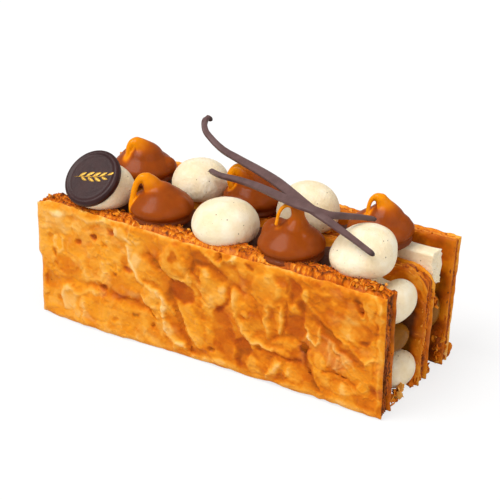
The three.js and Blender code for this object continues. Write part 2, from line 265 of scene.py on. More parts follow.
def add_piece(name, shape, node, material):
    """A smooth piece that rides on the slice and stands for a node. Its shape is its points in
    millimetres, its faces, and its values, which each hold a number at every point."""
    points, faces, values = shape
    mesh = new_mesh(name, points + TO_MIDDLE, outwards(points, faces))
    mesh.polygons.foreach_set("use_smooth", np.ones(len(mesh.polygons), bool))
    for key, value in values.items():
        layer = mesh.attributes.new(key, "FLOAT", "POINT")
        layer.data.foreach_set("value", np.asarray(value, np.float32))
    mesh.validate()
    mesh.materials.append(material)
    piece = bpy.data.objects.new(name, mesh)
    scene.collection.objects.link(piece)
    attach(piece, "root")
    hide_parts(node)


def net(rows, columns, wrap=False):
    """The corners of every cell of a grid of points. A wrapped grid's last row meets its first."""
    i = np.arange(rows if wrap else rows - 1)[:, None] * columns
    j = np.arange(columns - 1)
    after = (i + columns) % (rows * columns)
    return np.stack([i + j, after + j, after + j + 1, i + j + 1], -1).reshape(-1, 4)


def plate(grid, back, values):
    """Closes a grid of points into a thin plate. Rings that follow its border step backwards and inwards
    by the rim's pairs of distances, and a fan to one hidden middle point closes the last ring."""
    rows, columns = grid.shape[:2]
    index = np.arange(rows * columns).reshape(rows, columns)
    loop = np.concatenate([index[:-1, 0], index[-1, :-1], index[:0:-1, -1], index[0, :0:-1]])
    flat = grid.reshape(-1, 3)
    border = flat[loop]
    outward = np.cross(np.roll(border, -1, 0) - np.roll(border, 1, 0), back)
    outward /= np.linalg.norm(outward, axis=1, keepdims=True) + 1e-9
    outward *= np.sign(np.einsum("ij,ij->", outward, border - border.mean(0)))
    rings = [border + back * deep - outward * inset for deep, inset in RIM]
    points = np.concatenate([flat, *rings, rings[-1].mean(0)[None]])
    faces = [net(rows, columns)]
    before = loop
    for k in range(len(rings)):
        ring = len(flat) + k * len(loop) + np.arange(len(loop))
        faces.append(np.stack([before, ring, np.roll(ring, -1), np.roll(before, -1)], 1))
        before = ring
    faces.append(np.stack([before, np.full(len(loop), len(points) - 1), np.roll(before, -1)], 1))
    closed = {}
    for key, value in values.items():
        value = value.ravel()
        closed[key] = np.concatenate([value, *[value[loop]] * len(rings), [value.mean()]])
    return points, faces, closed


# Spots of the face: middle across and up, half-width and half-height, how much darker the toast is and
# how far it stands out in millimetres. Then, where they aren't 0, how red it is, how glassy the sugar is,
# and its turn in degrees.
FRONT_SPOTS = [
    (7.4, 35, 3.6, 1, -0.17, 0.25, 0, -0.3, 3), (8.5, 32, 5, 3.4, -0.07, 0.1, 0, -0.2),
    (15.3, 32.5, 2.1, 2.4, -0.16, 0.25, 0, 0, 10), (1.8, 29.5, 2.6, 7.5, -0.1, 0.15, 0, 0.35),
    (8.4, 25.4, 1.2, 1.7, -0.05, 0.25, 0, 1.5), (4.9, 27, 0.9, 1, 0.16, -0.2, 0.1),
    (6.75, 22.1, 1.1, 0.6, 0.5, -0.45, 0, 0, -40), (16.1, 27.7, 1.3, 1, 0.26, -0.5, 0.1),
    (22.1, 30.6, 1, 0.9, 0.44, -0.45, 0.3), (25.5, 29.5, 1, 0.8, 0.42, -0.45, 0.2, 0, 20),
    (28.3, 34.6, 1.5, 1, 0.3, -0.35, 0.5, 0, 30), (22.6, 34.2, 2.4, 1.2, 0.07, 0, 0.4, 0.1),
    (34.2, 23.5, 1.2, 0.9, 0.34, -0.45, 0.6), (33.4, 26.4, 1.2, 2, 0.26, -0.2, 0.6, 0, 10),
    (29.5, 20.9, 0.7, 0.7, 0.34, -0.25), (37.5, 9.3, 0.9, 0.7, 0.42, -0.4),
    (43.4, 7.7, 0.6, 0.7, 0.34, -0.35), (30.1, 6.4, 0.8, 0.6, 0.34, -0.3),
    (25.5, 15.4, 1.2, 0.8, 0.3, -0.35, 0.2), (11.4, 18.8, 5, 2.8, 0.17, -0.1, 0.4, 0, -8),
    (21.4, 20.6, 1.8, 2.4, 0.05, 0, 0, -0.35), (5.2, 12.4, 3.6, 2.4, 0.12, -0.1, 0.6),
    (4.9, 11.8, 0.8, 0.8, 0.08, -0.1, 0.2), (8.4, 7.7, 1, 1, 0.16, -0.15, 0.2),
    (12.3, 8.3, 2.6, 4.4, -0.17, 0.35, 0, -0.1), (12, 11.6, 1.8, 1, -0.1, 0.25, 0, 0, 20),
    (23, 8, 4.4, 4.2, 0.02, 0.25, 0, 0.6), (22.2, 6.4, 1.6, 3, 0.08, 0, 0, 0.4),
    (6.5, 2.2, 5, 2.2, 0.05, 0.1, 0, 1.4), (17, 2, 2.2, 1.4, -0.02, 0, 0, 0.8),
    (33, 8, 5, 5, 0.02, 0.1, 0, 0.5), (32, 34.6, 2.6, 1.7, -0.09, 0.3, 0, 0, -25),
    (30.4, 35, 1.1, 0.4, -0.22, 0.25, 0, 0, 60), (34.2, 33.6, 1.2, 0.4, -0.25, 0.25, 0, 0, -25),
    (37.2, 35.4, 4.2, 2.2, 0.1, -0.05, 0, 0.5), (38.2, 33.8, 0.9, 0.5, -0.22, 0.25, 0, 0, 30),
    (35.3, 31.2, 1, 1.8, -0.12, 0.2), (37.8, 28, 1.5, 3.4, -0.1, 0.25, 0, 0, -12),
    (43.5, 26.5, 4.2, 3.8, 0.05, 0.1, 0, 0.2, -30), (42.4, 16.6, 3.2, 3.6, -0.1, 0.45, 0, 0.2),
    (44.4, 18.2, 1.3, 1, -0.1, 0.2), (51.8, 31.2, 4.3, 4.9, -0.05, 0.75, 0, 0.1),
    (51.8, 32.6, 1.5, 2, 0.34, -0.1, 0.8), (53.7, 21.7, 4.7, 3.4, 0.34, -0.4, 1.1, 0, -10),
    (47.2, 27.2, 1, 0.7, 0.22, -0.4, 0.2, 0, -40), (57.4, 11.8, 3.6, 6.6, -0.1, 0.35, 0, 0.9, 25),
    (59, 3, 3, 1.6, 0.16, -0.15, 0.6), (52.2, 3.4, 2, 1.3, -0.14, 0.25, 0, 0, 20),
    (48, 4.3, 0.9, 0.9, 0.12, -0.1, 0.2, 0.5), (47.4, 13.2, 0.8, 2, -0.12, 0.25),
    (48.8, 8.2, 1.6, 2.2, -0.12, 0.25, 0, 0, 20), (50.4, 11.4, 1, 0.9, 0.12, -0.15, 0, 0.3),
    (57.6, 31.6, 1.6, 2.6, 0.16, -0.2, 0.2, 0, 10), (61, 34.4, 2.4, 2.2, 0.2, -0.2, 0.6),
    (60, 33.2, 1.2, 0.8, 0.2, -0.2, 0.6), (67.2, 36.4, 1.3, 1.3, 0.26, -0.7, 0.3),
    (71.2, 36.6, 1.4, 0.9, -0.2, 0.35, 0, 0, 20), (77, 36.3, 1.4, 0.9, 0.28, -0.3, 0.7, 0, -10),
    (63, 31, 1.4, 1.2, -0.18, 0.2), (64.8, 25.2, 4.8, 5.2, -0.07, 0.45, 0, 0.1, 20),
    (64.7, 28, 1.8, 1.4, -0.06, 0, 0, 0.7), (68.4, 27, 1.3, 1.3, -0.16, 0.2),
    (72.4, 25.6, 1.1, 2.3, -0.13, 0.35, 0, 0.2, 10), (68.2, 12.6, 3.7, 8, 0.17, -0.25, 0.9, 0, 8),
    (68.2, 18, 3, 3, 0.1, -0.15, 0.3), (75.2, 10, 3.2, 3, 0.34, -0.4, 1, 0, -20),
    (73.6, 5.6, 1.2, 2.6, 0.24, -0.35, 0.6), (63.8, 5.2, 1, 0.7, 0.36, -0.5, 0.4),
    (66.3, 1.8, 2.2, 1.2, -0.18, 0.2), (75.9, 21, 1.5, 1.1, -0.18, 0.35, 0, 0, -20),
    (76.6, 16.4, 2, 2.9, -0.1, 0.3, 0, 0.7), (78, 24.8, 1.8, 3, 0.03, -0.05, 0.2, 0, 30),
    (83, 31.2, 4.6, 4.4, -0.12, 0.5, 0, 0.15), (85, 21, 1.1, 4, 0.2, -0.4),
    (92.4, 21.6, 3.5, 3.6, 0.19, -0.3, 1.1), (91.6, 33, 2.4, 3, 0.22, -0.25, 1, 0, -10),
    (95.2, 32.3, 1.3, 1.8, -0.27, 0.3, 0, 0.2), (91.8, 27.3, 1.8, 1.4, -0.1, 0.35, 0, 0.1, -10),
    (94.2, 28.4, 1.3, 1.7, 0.26, -0.3, 0.5), (90.9, 30.2, 0.6, 2.2, 0.2, -0.25),
    (94.7, 14.8, 1.4, 1.3, 0.34, -0.5, 0.4), (100.2, 12.6, 2, 2.8, -0.16, 0.3, 0, 0.2, 10),
    (106.2, 16, 3.6, 5, -0.06, 0.15, 0, -0.2, 25), (108, 26.4, 6.5, 3.6, -0.16, 0.1, 0, -0.2, -20),
    (80.4, 11.2, 0.9, 0.5, 0.3, -0.3, 0.1), (85.2, 4.6, 1.6, 4, -0.14, 0.35, 0, 0.1, -20),
    (78, 5.6, 1.8, 2.2, -0.12, 0.2, 0, 0.2), (92.6, 6, 3, 2.6, -0.1, 0.1),
    (112.2, 33.6, 1.3, 2.6, 0.4, -0.6, 0.1, 0, 25), (117, 33.6, 2.6, 4, -0.16, 0.15),
    (113.4, 25, 3.4, 3.2, 0.1, -0.1, 0.4), (114.3, 22.7, 1.4, 1, 0.28, -0.3, 0.7),
    (101.8, 33, 1.6, 1.3, 0.13, -0.1, 0.8), (103, 29.3, 1.6, 1.2, 0.12, -0.1, 0.7),
    (106.8, 29.2, 1.2, 1, 0.12, -0.1, 0.7), (114.5, 9.1, 1, 1, 0.05, 0.2, 0.1, 0.6),
    (109.5, 6.6, 3.2, 1.7, -0.2, 0.2, 0, -0.2), (117.2, 8, 1, 1.2, 0.16, -0.15, 0.4),
    (105, 3, 4, 1.4, 0.08, -0.1, 0.2, 0.2), (99.2, 36, 4, 1, 0.1, -0.1, 0.5),
    (86, 36.6, 2.4, 0.8, 0.06, 0, 0, 0.7), (45.8, 8.6, 1.2, 3.4, -0.15, 0.2, 0, 0, 10),
    (51.6, 8.6, 1.8, 2.4, 0.16, -0.1, 0.3, 0, 20), (58, 17, 3, 2, -0.11, 0.2, 0, 0.5, -10),
    (24, 25.4, 4, 1.7, 0.13, -0.05, 0.3), (34, 13.2, 7.5, 1.5, 0.18, -0.1, 0.3, 0, -4),
    (38.2, 6.6, 1.7, 4.4, 0.13, 0, 0.3, 0, 5), (28.8, 4.6, 1.8, 2.3, 0.14, 0, 0.3),
    (22.5, 36, 3.8, 1.1, -0.12, 0.1), (31, 37.3, 3.2, 0.9, 0.2, 0, 0.4),
    (9.5, 37.2, 2.4, 0.8, 0.16, 0, 0.3), (62.6, 32.8, 1.8, 1.1, 0.18, -0.1, 0.3, 0, -20),
    (61.4, 11, 1.5, 3.2, 0.14, 0, 0.3, 0, 10), (105.4, 6.2, 3, 1.8, -0.12, 0.1),
    (75.2, 22.6, 2.2, 2.4, -0.13, 0.15, 0, 0.3), (79, 4.8, 2.4, 2.4, -0.1, 0.1, 0, 0.2),
    (97.6, 7.6, 1.2, 2, -0.1, 0.1, 0, 0, 20), (111.2, 31.2, 3, 4, -0.1, 0.1, 0, -0.1, 20),
]
# Folds and ridges: points across and up, half-width, then the same four numbers. The darkness of three
# folds is painted shade: the streak below the blister from (42.4, 31.4), the line beyond the raised plate's
# edge from (70.4, 27.6) and the edge below the ridges from (84.7, 15.8).
FRONT_FOLDS = [
    ([(7, 27.2), (6.6, 24.4), (8.2, 22.8), (10.2, 24.4), (10, 27.6)], 0.55, -0.28, 0.3, 0, -0.2),
    ([(25.4, 23.2), (26, 20.4), (24.6, 17.4), (21.2, 16.3), (18.2, 17.6), (17.2, 21.4), (18.4, 23.4)],
     0.9, -0.18, 0.3, 0, 0.5),
    ([(3.4, 12.2), (7.8, 13.2), (11.8, 14.3), (24.7, 15.2), (31.3, 13.5), (38, 13.7), (43, 12.2)],
     1.3, 0.17, -0.45, 0.1, 0.3),
    ([(10.6, 4.6), (9.9, 8.6), (10.6, 12.2), (13, 12.7), (14.9, 10.6)], 0.6, -0.12, 0.25),
    ([(15.1, 10.6), (17, 11.4), (18.8, 12.7), (23.8, 13.4)], 0.8, -0.2, 0.35),
    ([(17.8, 10.2), (17.6, 6.6), (18.2, 3)], 0.7, -0.12, 0.2),
    ([(24.8, 13), (24.9, 10)], 0.4, -0.12, 0.15),
    ([(34.8, 31), (35, 27.4), (36.1, 24.4), (38.2, 22.4), (40.2, 21.2), (42, 19.9), (45.1, 19.6)],
     0.55, -0.3, 0.4),
    ([(45.1, 19.6), (46.8, 17.6), (47.6, 13), (48.3, 10.2), (47, 7.6), (49.8, 5), (53.4, 4), (54.9, 2.6)],
     0.6, -0.28, 0.4),
    ([(39.2, 16), (41.3, 13.1), (44.7, 11.2)], 0.55, -0.26, 0.35),
    ([(40.2, 14), (42.6, 11.6), (45.4, 9.9)], 0.7, 0.14, -0.35, 0, 0.2),
    ([(38.4, 20.6), (40, 17.6), (38, 14.6)], 0.8, 0.1, -0.25, 0, 0.2),
    ([(47.6, 28.1), (48.4, 26.4), (51.1, 25.4), (55.1, 26.2), (56.6, 27.6)], 0.8, -0.22, 0.45, 0, 0.5),
    # Painted shade: the shadow streak below the blister.
    ([(42.4, 31.4), (45, 29.2), (47.6, 26.8), (50.5, 24.6)], 0.9, 0.22, -0.45, 0.1),
    ([(41, 30.4), (44.8, 28.2), (47.8, 25), (49, 21.4), (50.2, 18.4)], 1.9, 0.24, -0.25, 0.4, 0.1),
    ([(41.4, 21.8), (45.2, 21), (48.4, 18.8), (49.2, 16.4)], 1, 0.26, -0.15, 0.4, 0.2),
    ([(83.6, 8.9), (86.4, 9.7), (88, 8.3)], 0.7, 0.16, -0.15, 0.2),
    ([(60.2, 30.4), (60.4, 25.4)], 0.7, 0.14, -0.15, 0.2),
    ([(49.8, 19.6), (51, 16.6), (52.4, 12.6), (53.8, 8.5), (55.7, 5.2), (56.3, 2.4)],
     1.35, 0.3, -0.55, 0.5),
    ([(53, 17), (54.7, 12.2), (56.8, 8.1), (60, 5)], 0.6, -0.2, 0.4, 0, 0.3),
    ([(57.2, 25.6), (59.6, 23.2), (60.4, 19.6), (59.8, 16.4)], 0.8, 0.12, -0.25, 0.2),
    ([(56.8, 36.8), (58.6, 33.4), (58, 29.6), (60.4, 27.2)], 0.7, 0.16, -0.25, 0.1),
    ([(63.4, 36.4), (65.9, 34.8), (67.6, 34.3), (69.3, 36.6), (71.8, 37.6)], 0.5, -0.26, 0.5),
    ([(64.3, 33.3), (66.8, 31.7), (69.6, 30.2), (71.8, 28.9), (74.6, 27.8)], 1.3, 0.26, -0.5, 0.5),
    # Painted shade: the shadow line beyond the raised plate's right edge.
    ([(70.4, 27.6), (70.6, 24.6), (69, 21.8), (66.4, 19.2)], 0.8, 0.28, -0.4, 0.4),
    ([(60.4, 24.4), (60.6, 21), (63, 19.6), (65.6, 19.9)], 0.5, -0.12, 0.25),
    ([(71.8, 27.3), (72.6, 21), (74.7, 16), (77.6, 12.9), (80.5, 12), (84.7, 11.6)],
     0.95, -0.26, 0.45, 0, 0.1),
    ([(79.7, 24.6), (80.4, 22), (81.6, 19.4)], 0.6, 0.1, -0.25, 0.2),
    ([(78.8, 28.4), (80.4, 26.2), (83.8, 26.4), (87, 27.4)], 0.7, -0.2, 0.35, 0, 0.1),
    ([(83, 25.4), (82.5, 21), (83, 16)], 0.75, -0.24, 0.5),
    ([(87.9, 26.2), (87.9, 21), (87.2, 17.3)], 0.6, -0.26, 0.5),
    ([(89.3, 29), (89.2, 24), (88.8, 18.6)], 0.5, 0.14, -0.35, 0.5),
    ([(95.7, 22.9), (96.6, 19.1), (98.8, 17), (100, 18.5), (99.8, 22.8)], 0.4, -0.34, 0.4),
    ([(97, 26), (96.8, 23), (97.8, 20)], 0.9, 0.08, 0, 0.1, 0.1),
    ([(94, 29.4), (94.4, 26.8), (94.6, 24.2)], 0.8, 0.16, -0.3, 0.5),
    ([(95.6, 30.8), (97.2, 28.2), (99.4, 25.8)], 0.7, -0.22, 0.2),
    ([(98.6, 25.4), (103, 21.9), (108, 18.5), (113.2, 15)], 1.05, 0.26, -0.4, 0.4, 0.2),
    ([(99.8, 26.9), (104.4, 23.3), (109.4, 19.9), (114.6, 16.9), (118, 18.4)], 0.6, -0.16, 0.35, 0, 0.1),
    ([(100.6, 21.6), (104, 19.2), (108, 16.4), (111.6, 13.6)], 0.5, -0.14, 0.25, 0, -0.3),
    ([(95.3, 16), (95.8, 11.8), (98, 6.8), (99.5, 3.6)], 1.15, 0.38, -0.45, 0.5, 0.1),
    ([(96.9, 14.6), (97.4, 11.4), (99.6, 6.8), (101, 3.8)], 0.5, -0.16, 0.3, 0, 0.1),
    # Painted shade: the shadow edge below the two upright ridges.
    ([(84.7, 15.8), (88.4, 17.6), (92.6, 17.8), (96.2, 16.2)], 0.7, 0.2, -0.45, 0.3, 0.1),
    ([(85, 14.4), (88.6, 15.8), (92, 15.6)], 0.8, -0.14, 0.25, 0, 0.1),
    ([(79.6, 11.2), (83.8, 10.6), (89.7, 10), (93.6, 10.6)], 0.7, 0.2, -0.5, 0.4),
    ([(101.6, 9.9), (106.3, 10.1), (111.6, 8.9)], 0.5, 0.16, -0.35, 0.2, 0.1),
    ([(103, 20), (103.4, 16), (102.8, 12.4)], 0.42, -0.13, 0.2, 0, -0.4),
    ([(104.6, 19.2), (106.4, 17), (108.6, 13.2)], 0.42, -0.12, 0.2, 0, -0.4),
    ([(104.4, 12), (107.4, 14.4), (110.2, 15.8)], 0.42, -0.12, 0.2, 0, -0.4),
    ([(105.6, 15.4), (105, 13), (106, 11)], 0.42, -0.1, 0.18, 0, -0.4),
    ([(83, 1.4), (84.6, 4.6), (87.4, 8.2)], 0.6, -0.18, 0.35, 0, 0.1),
    ([(88.4, 8.4), (88, 4.6), (87, 1.6)], 0.7, 0.12, -0.3, 0.1, 0.5),
    ([(113.3, 10.2), (113, 8.4), (114.4, 7.6), (115.8, 8.6), (115.7, 10.3), (114.4, 10.9)],
     0.35, -0.16, 0.22),
    ([(110.4, 35.4), (111.4, 32.6), (112.8, 30)], 0.45, -0.14, 0.25),
    ([(113.8, 35.6), (114.2, 32.8), (113.4, 30.4)], 0.4, -0.18, 0.25),
    ([(116.4, 36.8), (117.4, 34), (116.6, 31), (118, 28.4)], 0.4, 0.14, -0.25, 0.1),
    ([(118.9, 36.8), (118.8, 26), (119, 14), (118.8, 2)], 0.4, -0.2, 0.1),
    ([(117.6, 30), (117.9, 22), (117.5, 12)], 0.35, 0.1, -0.2, 0.1),
    ([(17, 36.4), (21, 35.6), (25, 36.8)], 0.7, -0.14, 0.15),
    ([(9, 36.9), (13, 36.2), (15.4, 36.9)], 0.6, -0.12, 0.15, 0, 0.2),
    ([(45.6, 37.2), (46.4, 33), (45.4, 29.6)], 0.9, 0.1, -0.25, 0, 0.5),
    ([(56.2, 34.4), (56.6, 31), (55.8, 28)], 0.8, -0.08, 0.15, 0, 0.1),
    ([(89, 36.2), (90.4, 33.8), (89.6, 31.4)], 0.7, -0.02, -0.15, 0, 0.5),
    ([(62, 18), (63.4, 12), (62, 6.6)], 0.8, -0.04, 0.15, 0, 0.4),
]
SKIN_ALONG, SKIN_UP = 480, 152  # points of the face, a quarter of a millimetre apart
FRONT_LIMIT = -2.22  # the furthest the skin may stand out
RIM = [(0.30, -0.02), (0.75, 0.15), (1.05, 0.6)]  # backwards and inwards, round the edge of a skin


def near_line(x, z, points):
    """Distance from each place to the nearest piece of a broken line."""
    nearest = np.full(x.shape, 1e9)
    for (ax, az), (bx, bz) in itertools.pairwise(points):
        run_x, run_z = bx - ax, bz - az
        share = np.clip(((x - ax) * run_x + (z - az) * run_z) / (run_x**2 + run_z**2), 0, 1)
        nearest = np.minimum(nearest, np.hypot(x - ax - share * run_x, z - az - share * run_z))
    return nearest


def glazed_face(x, z, spots, folds, seed=3):
    """Adds up the spots, each 1 inside an oval with a soft uneven edge, and the folds, each
    exp(-(distance / width)^2). Both are drawn on places pushed about by a crumple, so no edge is even.
    Gives the lift in millimetres, and by name the toasting with painted shade in a few folds, the redness
    and the glassiness."""
    push_x = x + 0.55 * crumple(x / 2.6, 0.0, z / 2.6, seed, 3)
    push_z = z + 0.55 * crumple(x / 2.6, 9.0, z / 2.6, seed + 2, 3)
    toast = 0.40 + 0.11 * smooth(x, 35, 75) + 0.03 * smooth(x, 75, 120)
    lift = np.zeros(x.shape)
    red = np.zeros(x.shape)
    glass = 0.12 + np.zeros(x.shape)
    for mid_x, mid_z, half_x, half_z, dark, out, *rest in spots:
        warm, glossy, turned = (*rest, 0, 0, 0)[:3]
        c, s = math.cos(math.radians(turned)), math.sin(math.radians(turned))
        a = ((push_x - mid_x) * c + (push_z - mid_z) * s) / half_x
        b = ((push_z - mid_z) * c - (push_x - mid_x) * s) / half_z
        near = np.hypot(a, b)
        soft = 0.55 / min(half_x, half_z)
        spot = 1 - smooth(near, max(0.1, 1 - soft), 1 + soft)
        pit = dark > 0 and max(half_x, half_z) < 1.6
        toast = toast + (1.1 if dark < 0 or pit else 0.75) * dark * spot
        lift = lift + out * (1 - smooth(near, max(0, 1 - 1.3 * soft), 1 + soft))
        red = red + 0.6 * warm * spot
        glass = glass + glossy * spot
    for line, width, dark, out, *rest in folds:
        warm, glossy = (*rest, 0, 0)[:2]
        fold = np.exp(-((near_line(push_x, push_z, line) / width) ** 2))
        toast = toast + (0.80 if dark < 0 else 0.85) * dark * fold
        lift = lift + out * fold
        red = red + warm * fold
        glass = glass + glossy * fold
    toast = toast - 0.16 * smooth(x, 44, 50) * (1 - smooth(z, 1.2, 3.6))
    # The grain of the right two thirds runs down to the right.
    c, s = math.cos(math.radians(-38)), math.sin(math.radians(-38))
    along, across = x * c + z * s, z * c - x * s
    grain = crumple(along / 8.0, 0.0, across / 2.6, seed + 8, 3, 0.5)
    mottle = crumple(x / 6.5, 2.0, z / 5.5, seed + 10, 3, 0.5)
    share = smooth(x, 25, 55)
    flaky = smooth(crumple(x / 3.0, 6.0, z / 2.8, seed + 16, 3, 0.5), 0.20, 0.55)
    # Patches of clear yellow sugar, toasted hollows, and thin pale veins where the glaze has crept.
    patches = crumple(x / 4.4, 11.0, z / 3.9, seed + 24, 3, 0.45)
    sugar, hollow = smooth(patches, 0.10, 0.45), smooth(-patches, 0.15, 0.55)
    contour = crumple(along / 7.0, 13.0, across / 3.6, seed + 28, 3, 0.5)
    vein = np.exp(-((contour / 0.07) ** 2)) * smooth(crumple(x / 8, 15.0, z / 8, seed + 32, 2), -0.1, 0.5)
    # The floors of burst blisters stay smooth and even.
    calm = 1 - 0.75 * np.clip(red, 0, 1)
    toast = toast + calm * (0.07 * mottle + 0.07 * share * grain - 0.06 * flaky)
    toast = toast + calm * ((0.03 + 0.04 * share) * hollow - 0.09 * sugar - 0.12 * vein)
    lift = lift + calm * (0.18 * mottle + 0.18 * share * grain + 0.18 * flaky)
    lift = lift + calm * (0.12 * sugar - 0.14 * hollow + 0.26 * vein)
    fine = crumple(x / 0.9, 4.0, z / 0.9, seed + 20, 3, 0.6)
    hue = crumple(x / 5.0, 17.0, z / 4.0, seed + 36, 3, 0.5) * (1 - 0.6 * share)
    glass = glass + 0.30 * sugar * calm + 0.9 * hue * calm
    red = red + 0.20 * hollow * share
    return lift + 0.03 * fine, {"toast": toast + 0.014 * fine, "red": red, "glass": glass}


def front_outline(x, z):
    """The face's outline is cut a little unevenly: its left end stands back below 20 mm, both top
    corners are rounded off and the lower edge is wavy."""
    left = 1.1 * (1 - smooth(z, 18.6, 21.0)) + 0.25 * lattice(0.0, z / 3.0, 0.5, 31)
    right = 0.25 * lattice(4.0, z / 2.4, 0.5, 33) - 0.05
    top = 1.6 * (1 - smooth(x, 0, 6)) ** 2 + 0.5 * smooth(x, 80, LENGTH) - 0.1
    top = top + 0.3 * crumple(x / 3.0, 0.5, 0.5, 35, 3)
    bottom = 0.50 + 0.7 * lattice(x / 7.0, 0.5, 0.5, 37) + 0.35 * lattice(x / 2.0, 0.5, 0.5, 39)
    new_x = x + left * (1 - smooth(x, 0, 8)) - right * smooth(x, LENGTH - 6, LENGTH)
    new_z = z - top * smooth(z, HEIGHT - 9, HEIGHT) + np.maximum(0, bottom) * (1 - smooth(z, 0, 5))
    return new_x, new_z


def front_belly(x, z):
    """The sheet bellies out along its top and swells near its left bottom corner."""
    bow = -1.6 * (z / HEIGHT) * np.sin(np.pi * x / LENGTH) ** 2
    return bow - 1.8 * np.exp(-(((x - 22) / 20) ** 2) - (z / 20) ** 2)


def start_finish(name, **sockets):
    """A new material. Gives it, its place in millimetres, and its main shader with the sockets set."""
    material = bpy.data.materials.new(name)
    material.use_nodes = True
    tree = material.node_tree
    shader = tree.nodes["Principled BSDF"]
    for key, value in sockets.items():
        shader.inputs[key.replace("_", " ")].default_value = value
    wire = Wire(tree)
    place = wire.node("TexCoord", output="Object")
    place = place.node("VectorMath", {"operation": "SCALE"}, {"Vector": place, "Scale": 1000.0})
    return material, place, shader


def grainy(place, size, detail=3.0, rough=0.55, stretch=None):
    """Noise with features of about that size in millimetres, around 0.5."""
    if stretch:
        place = place.node("VectorMath", {"operation": "MULTIPLY"}, {0: place, 1: stretch})
    inputs = {"Vector": place, "Scale": 1.0 / size, "Detail": detail, "Roughness": rough}
    return place.node("TexNoise", {}, inputs)


def plug(shader, wire, socket):
    wire.tree.links.new(wire.socket, shader.inputs[socket])


def raise_surface(shader, height, depth):
    """A bump of that depth in millimetres for a height around 0 to 1."""
    inputs = {"Strength": 1.0, "Distance": depth / 1000, "Height": height}
    plug(shader, height.node("Bump", {}, inputs), "Normal")


# From pale unsugared flakes to burnt pits.
TOAST_COLOURS = [
    (0.00, "FAD08E"), (0.14, "F6BA64"), (0.28, "F0A43A"), (0.42, "E68A1C"),
    (0.56, "D46E0A"), (0.72, "B45206"), (0.86, "883C06"), (1.00, "502206"),
]


def pastry_finish():
    """Toasting, with some painted shade, by the attribute and fine noise, turned redder or glassier where
    the attributes say. The sugar glaze makes it glossier where it is thick."""
    material, place, shader = start_finish(
        "caramelised_pastry", Coat_Roughness=0.3, Specular_IOR_Level=0.08,
    )
    toast, red, glass = (place.read(attribute) for attribute in ("toast", "red", "glass"))
    fine = grainy(place, 0.8, 5.0, 0.62)
    broad = grainy(place, 3.2, 4.0, 0.6)
    tone = toast + (fine - 0.5) * 0.08 + (broad - 0.5) * 0.12
    colour = tone.ramp(*TOAST_COLOURS)
    colour = colour.tint("B84C0E", (red * 0.5).held())
    colour = colour.tint("F4A010", (glass * 0.4).held())
    colour = colour.tint("DDBE8E", (glass * -0.24).held())
    plug(shader, colour, "Base Color")
    plug(shader, 0.52 - (glass * 0.18).held() + (fine - 0.5) * 0.25, "Roughness")
    plug(shader, (glass * 0.13).held(), "Coat Weight")
    raise_surface(shader, fine * 0.7 + grainy(place, 0.3, 2.0) * 0.3, 0.13)
    return material


pastry = pastry_finish()

u, v = np.meshgrid(np.linspace(0, LENGTH, SKIN_ALONG), np.linspace(0, HEIGHT, SKIN_UP), indexing="ij")
lift, values = glazed_face(u, v, FRONT_SPOTS, FRONT_FOLDS)
# Along its top edge the skin is broken off and paler here and there.
broken = np.exp(-(((HEIGHT - v) / 0.5) ** 2)) * smooth(crumple(u / 2.0, 0.2, 0.7, 41, 2), -0.6, 0.2)
values["toast"] -= 0.20 * broken
x, z = front_outline(u, v)
inside = smooth(np.minimum.reduce([u, LENGTH - u, v, HEIGHT - v]), 0, 1.2)
y = front_belly(x, z) - lift * (0.35 + 0.65 * inside) + 0.35 * (1 - inside)
y = FRONT_LIMIT + np.logaddexp(0, (y - FRONT_LIMIT) * 6) / 6
skin = plate(np.stack([x, y, z], -1), np.array((0.0, 1.0, 0.0)), values)
add_piece("front_sheet_skin", skin, "pastry_front", pastry)

# ----------------------------------------------------------------------------------------------------
# Cut edges of the three sheets: the leaves of the pastry, seen edge on at the top, the ends and the
# bottom. Each leaf stands back by its own uneven amount, with dark gaps between the leaves; the darkness
# of the gaps is painted shade.


def middle_outline(x, z):
    """The middle sheet's top right corner is rounded off like a quarter of an oval, and its left one is
    worn."""
    corner = 6.6 * (1 - np.sqrt(1 - np.clip((x - 111.5) / 8.5, 0, 0.98) ** 2))
    top = 3.2 * smooth(x, 97, 107) + corner + 2 * (1 - smooth(x, 0, 6))
    return x, z - top * smooth(z / MIDDLE_SHEET["height"], 0.55, 1)


def back_outline(x, z):
    return x, z


FRONT_SHEET = {
    "node": "pastry_front", "outline": front_outline,
    "face": 0.0, "thickness": 6.8, "lean": 0.0, "height": HEIGHT,
}
MIDDLE_SHEET = {
    "node": "pastry_middle", "outline": middle_outline,
    "face": 22.2, "thickness": 6.6, "lean": 2.8, "height": 38.0,
}
BACK_SHEET = {
    "node": "pastry_back", "outline": back_outline,
    "face": 37.2, "thickness": 4.7, "lean": 4.6, "height": 38.8,
}
# Name, sheet, how many leaves, seed, and what else differs between the three.
LEAVES = [
    ("front_sheet_leaves", FRONT_SHEET, 7, 101, {"spacing": 0.24, "rise": 1.2, "brown": 0.28}),
    ("middle_sheet_leaves", MIDDLE_SHEET, 8, 131, {"tan": 0.36, "brown": 0.06}),
    ("back_sheet_leaves", BACK_SHEET, 5, 161, {"span": (0.12, 0.9), "deep": 0.6, "tan": -0.1, "brown": 0.2}),
]


def sheet_y(sheet, z, share):
    """How far back a place is: the sheet leans back in proportion to its height."""
    return sheet["face"] + sheet["lean"] * z / sheet["height"] + sheet["thickness"] * share


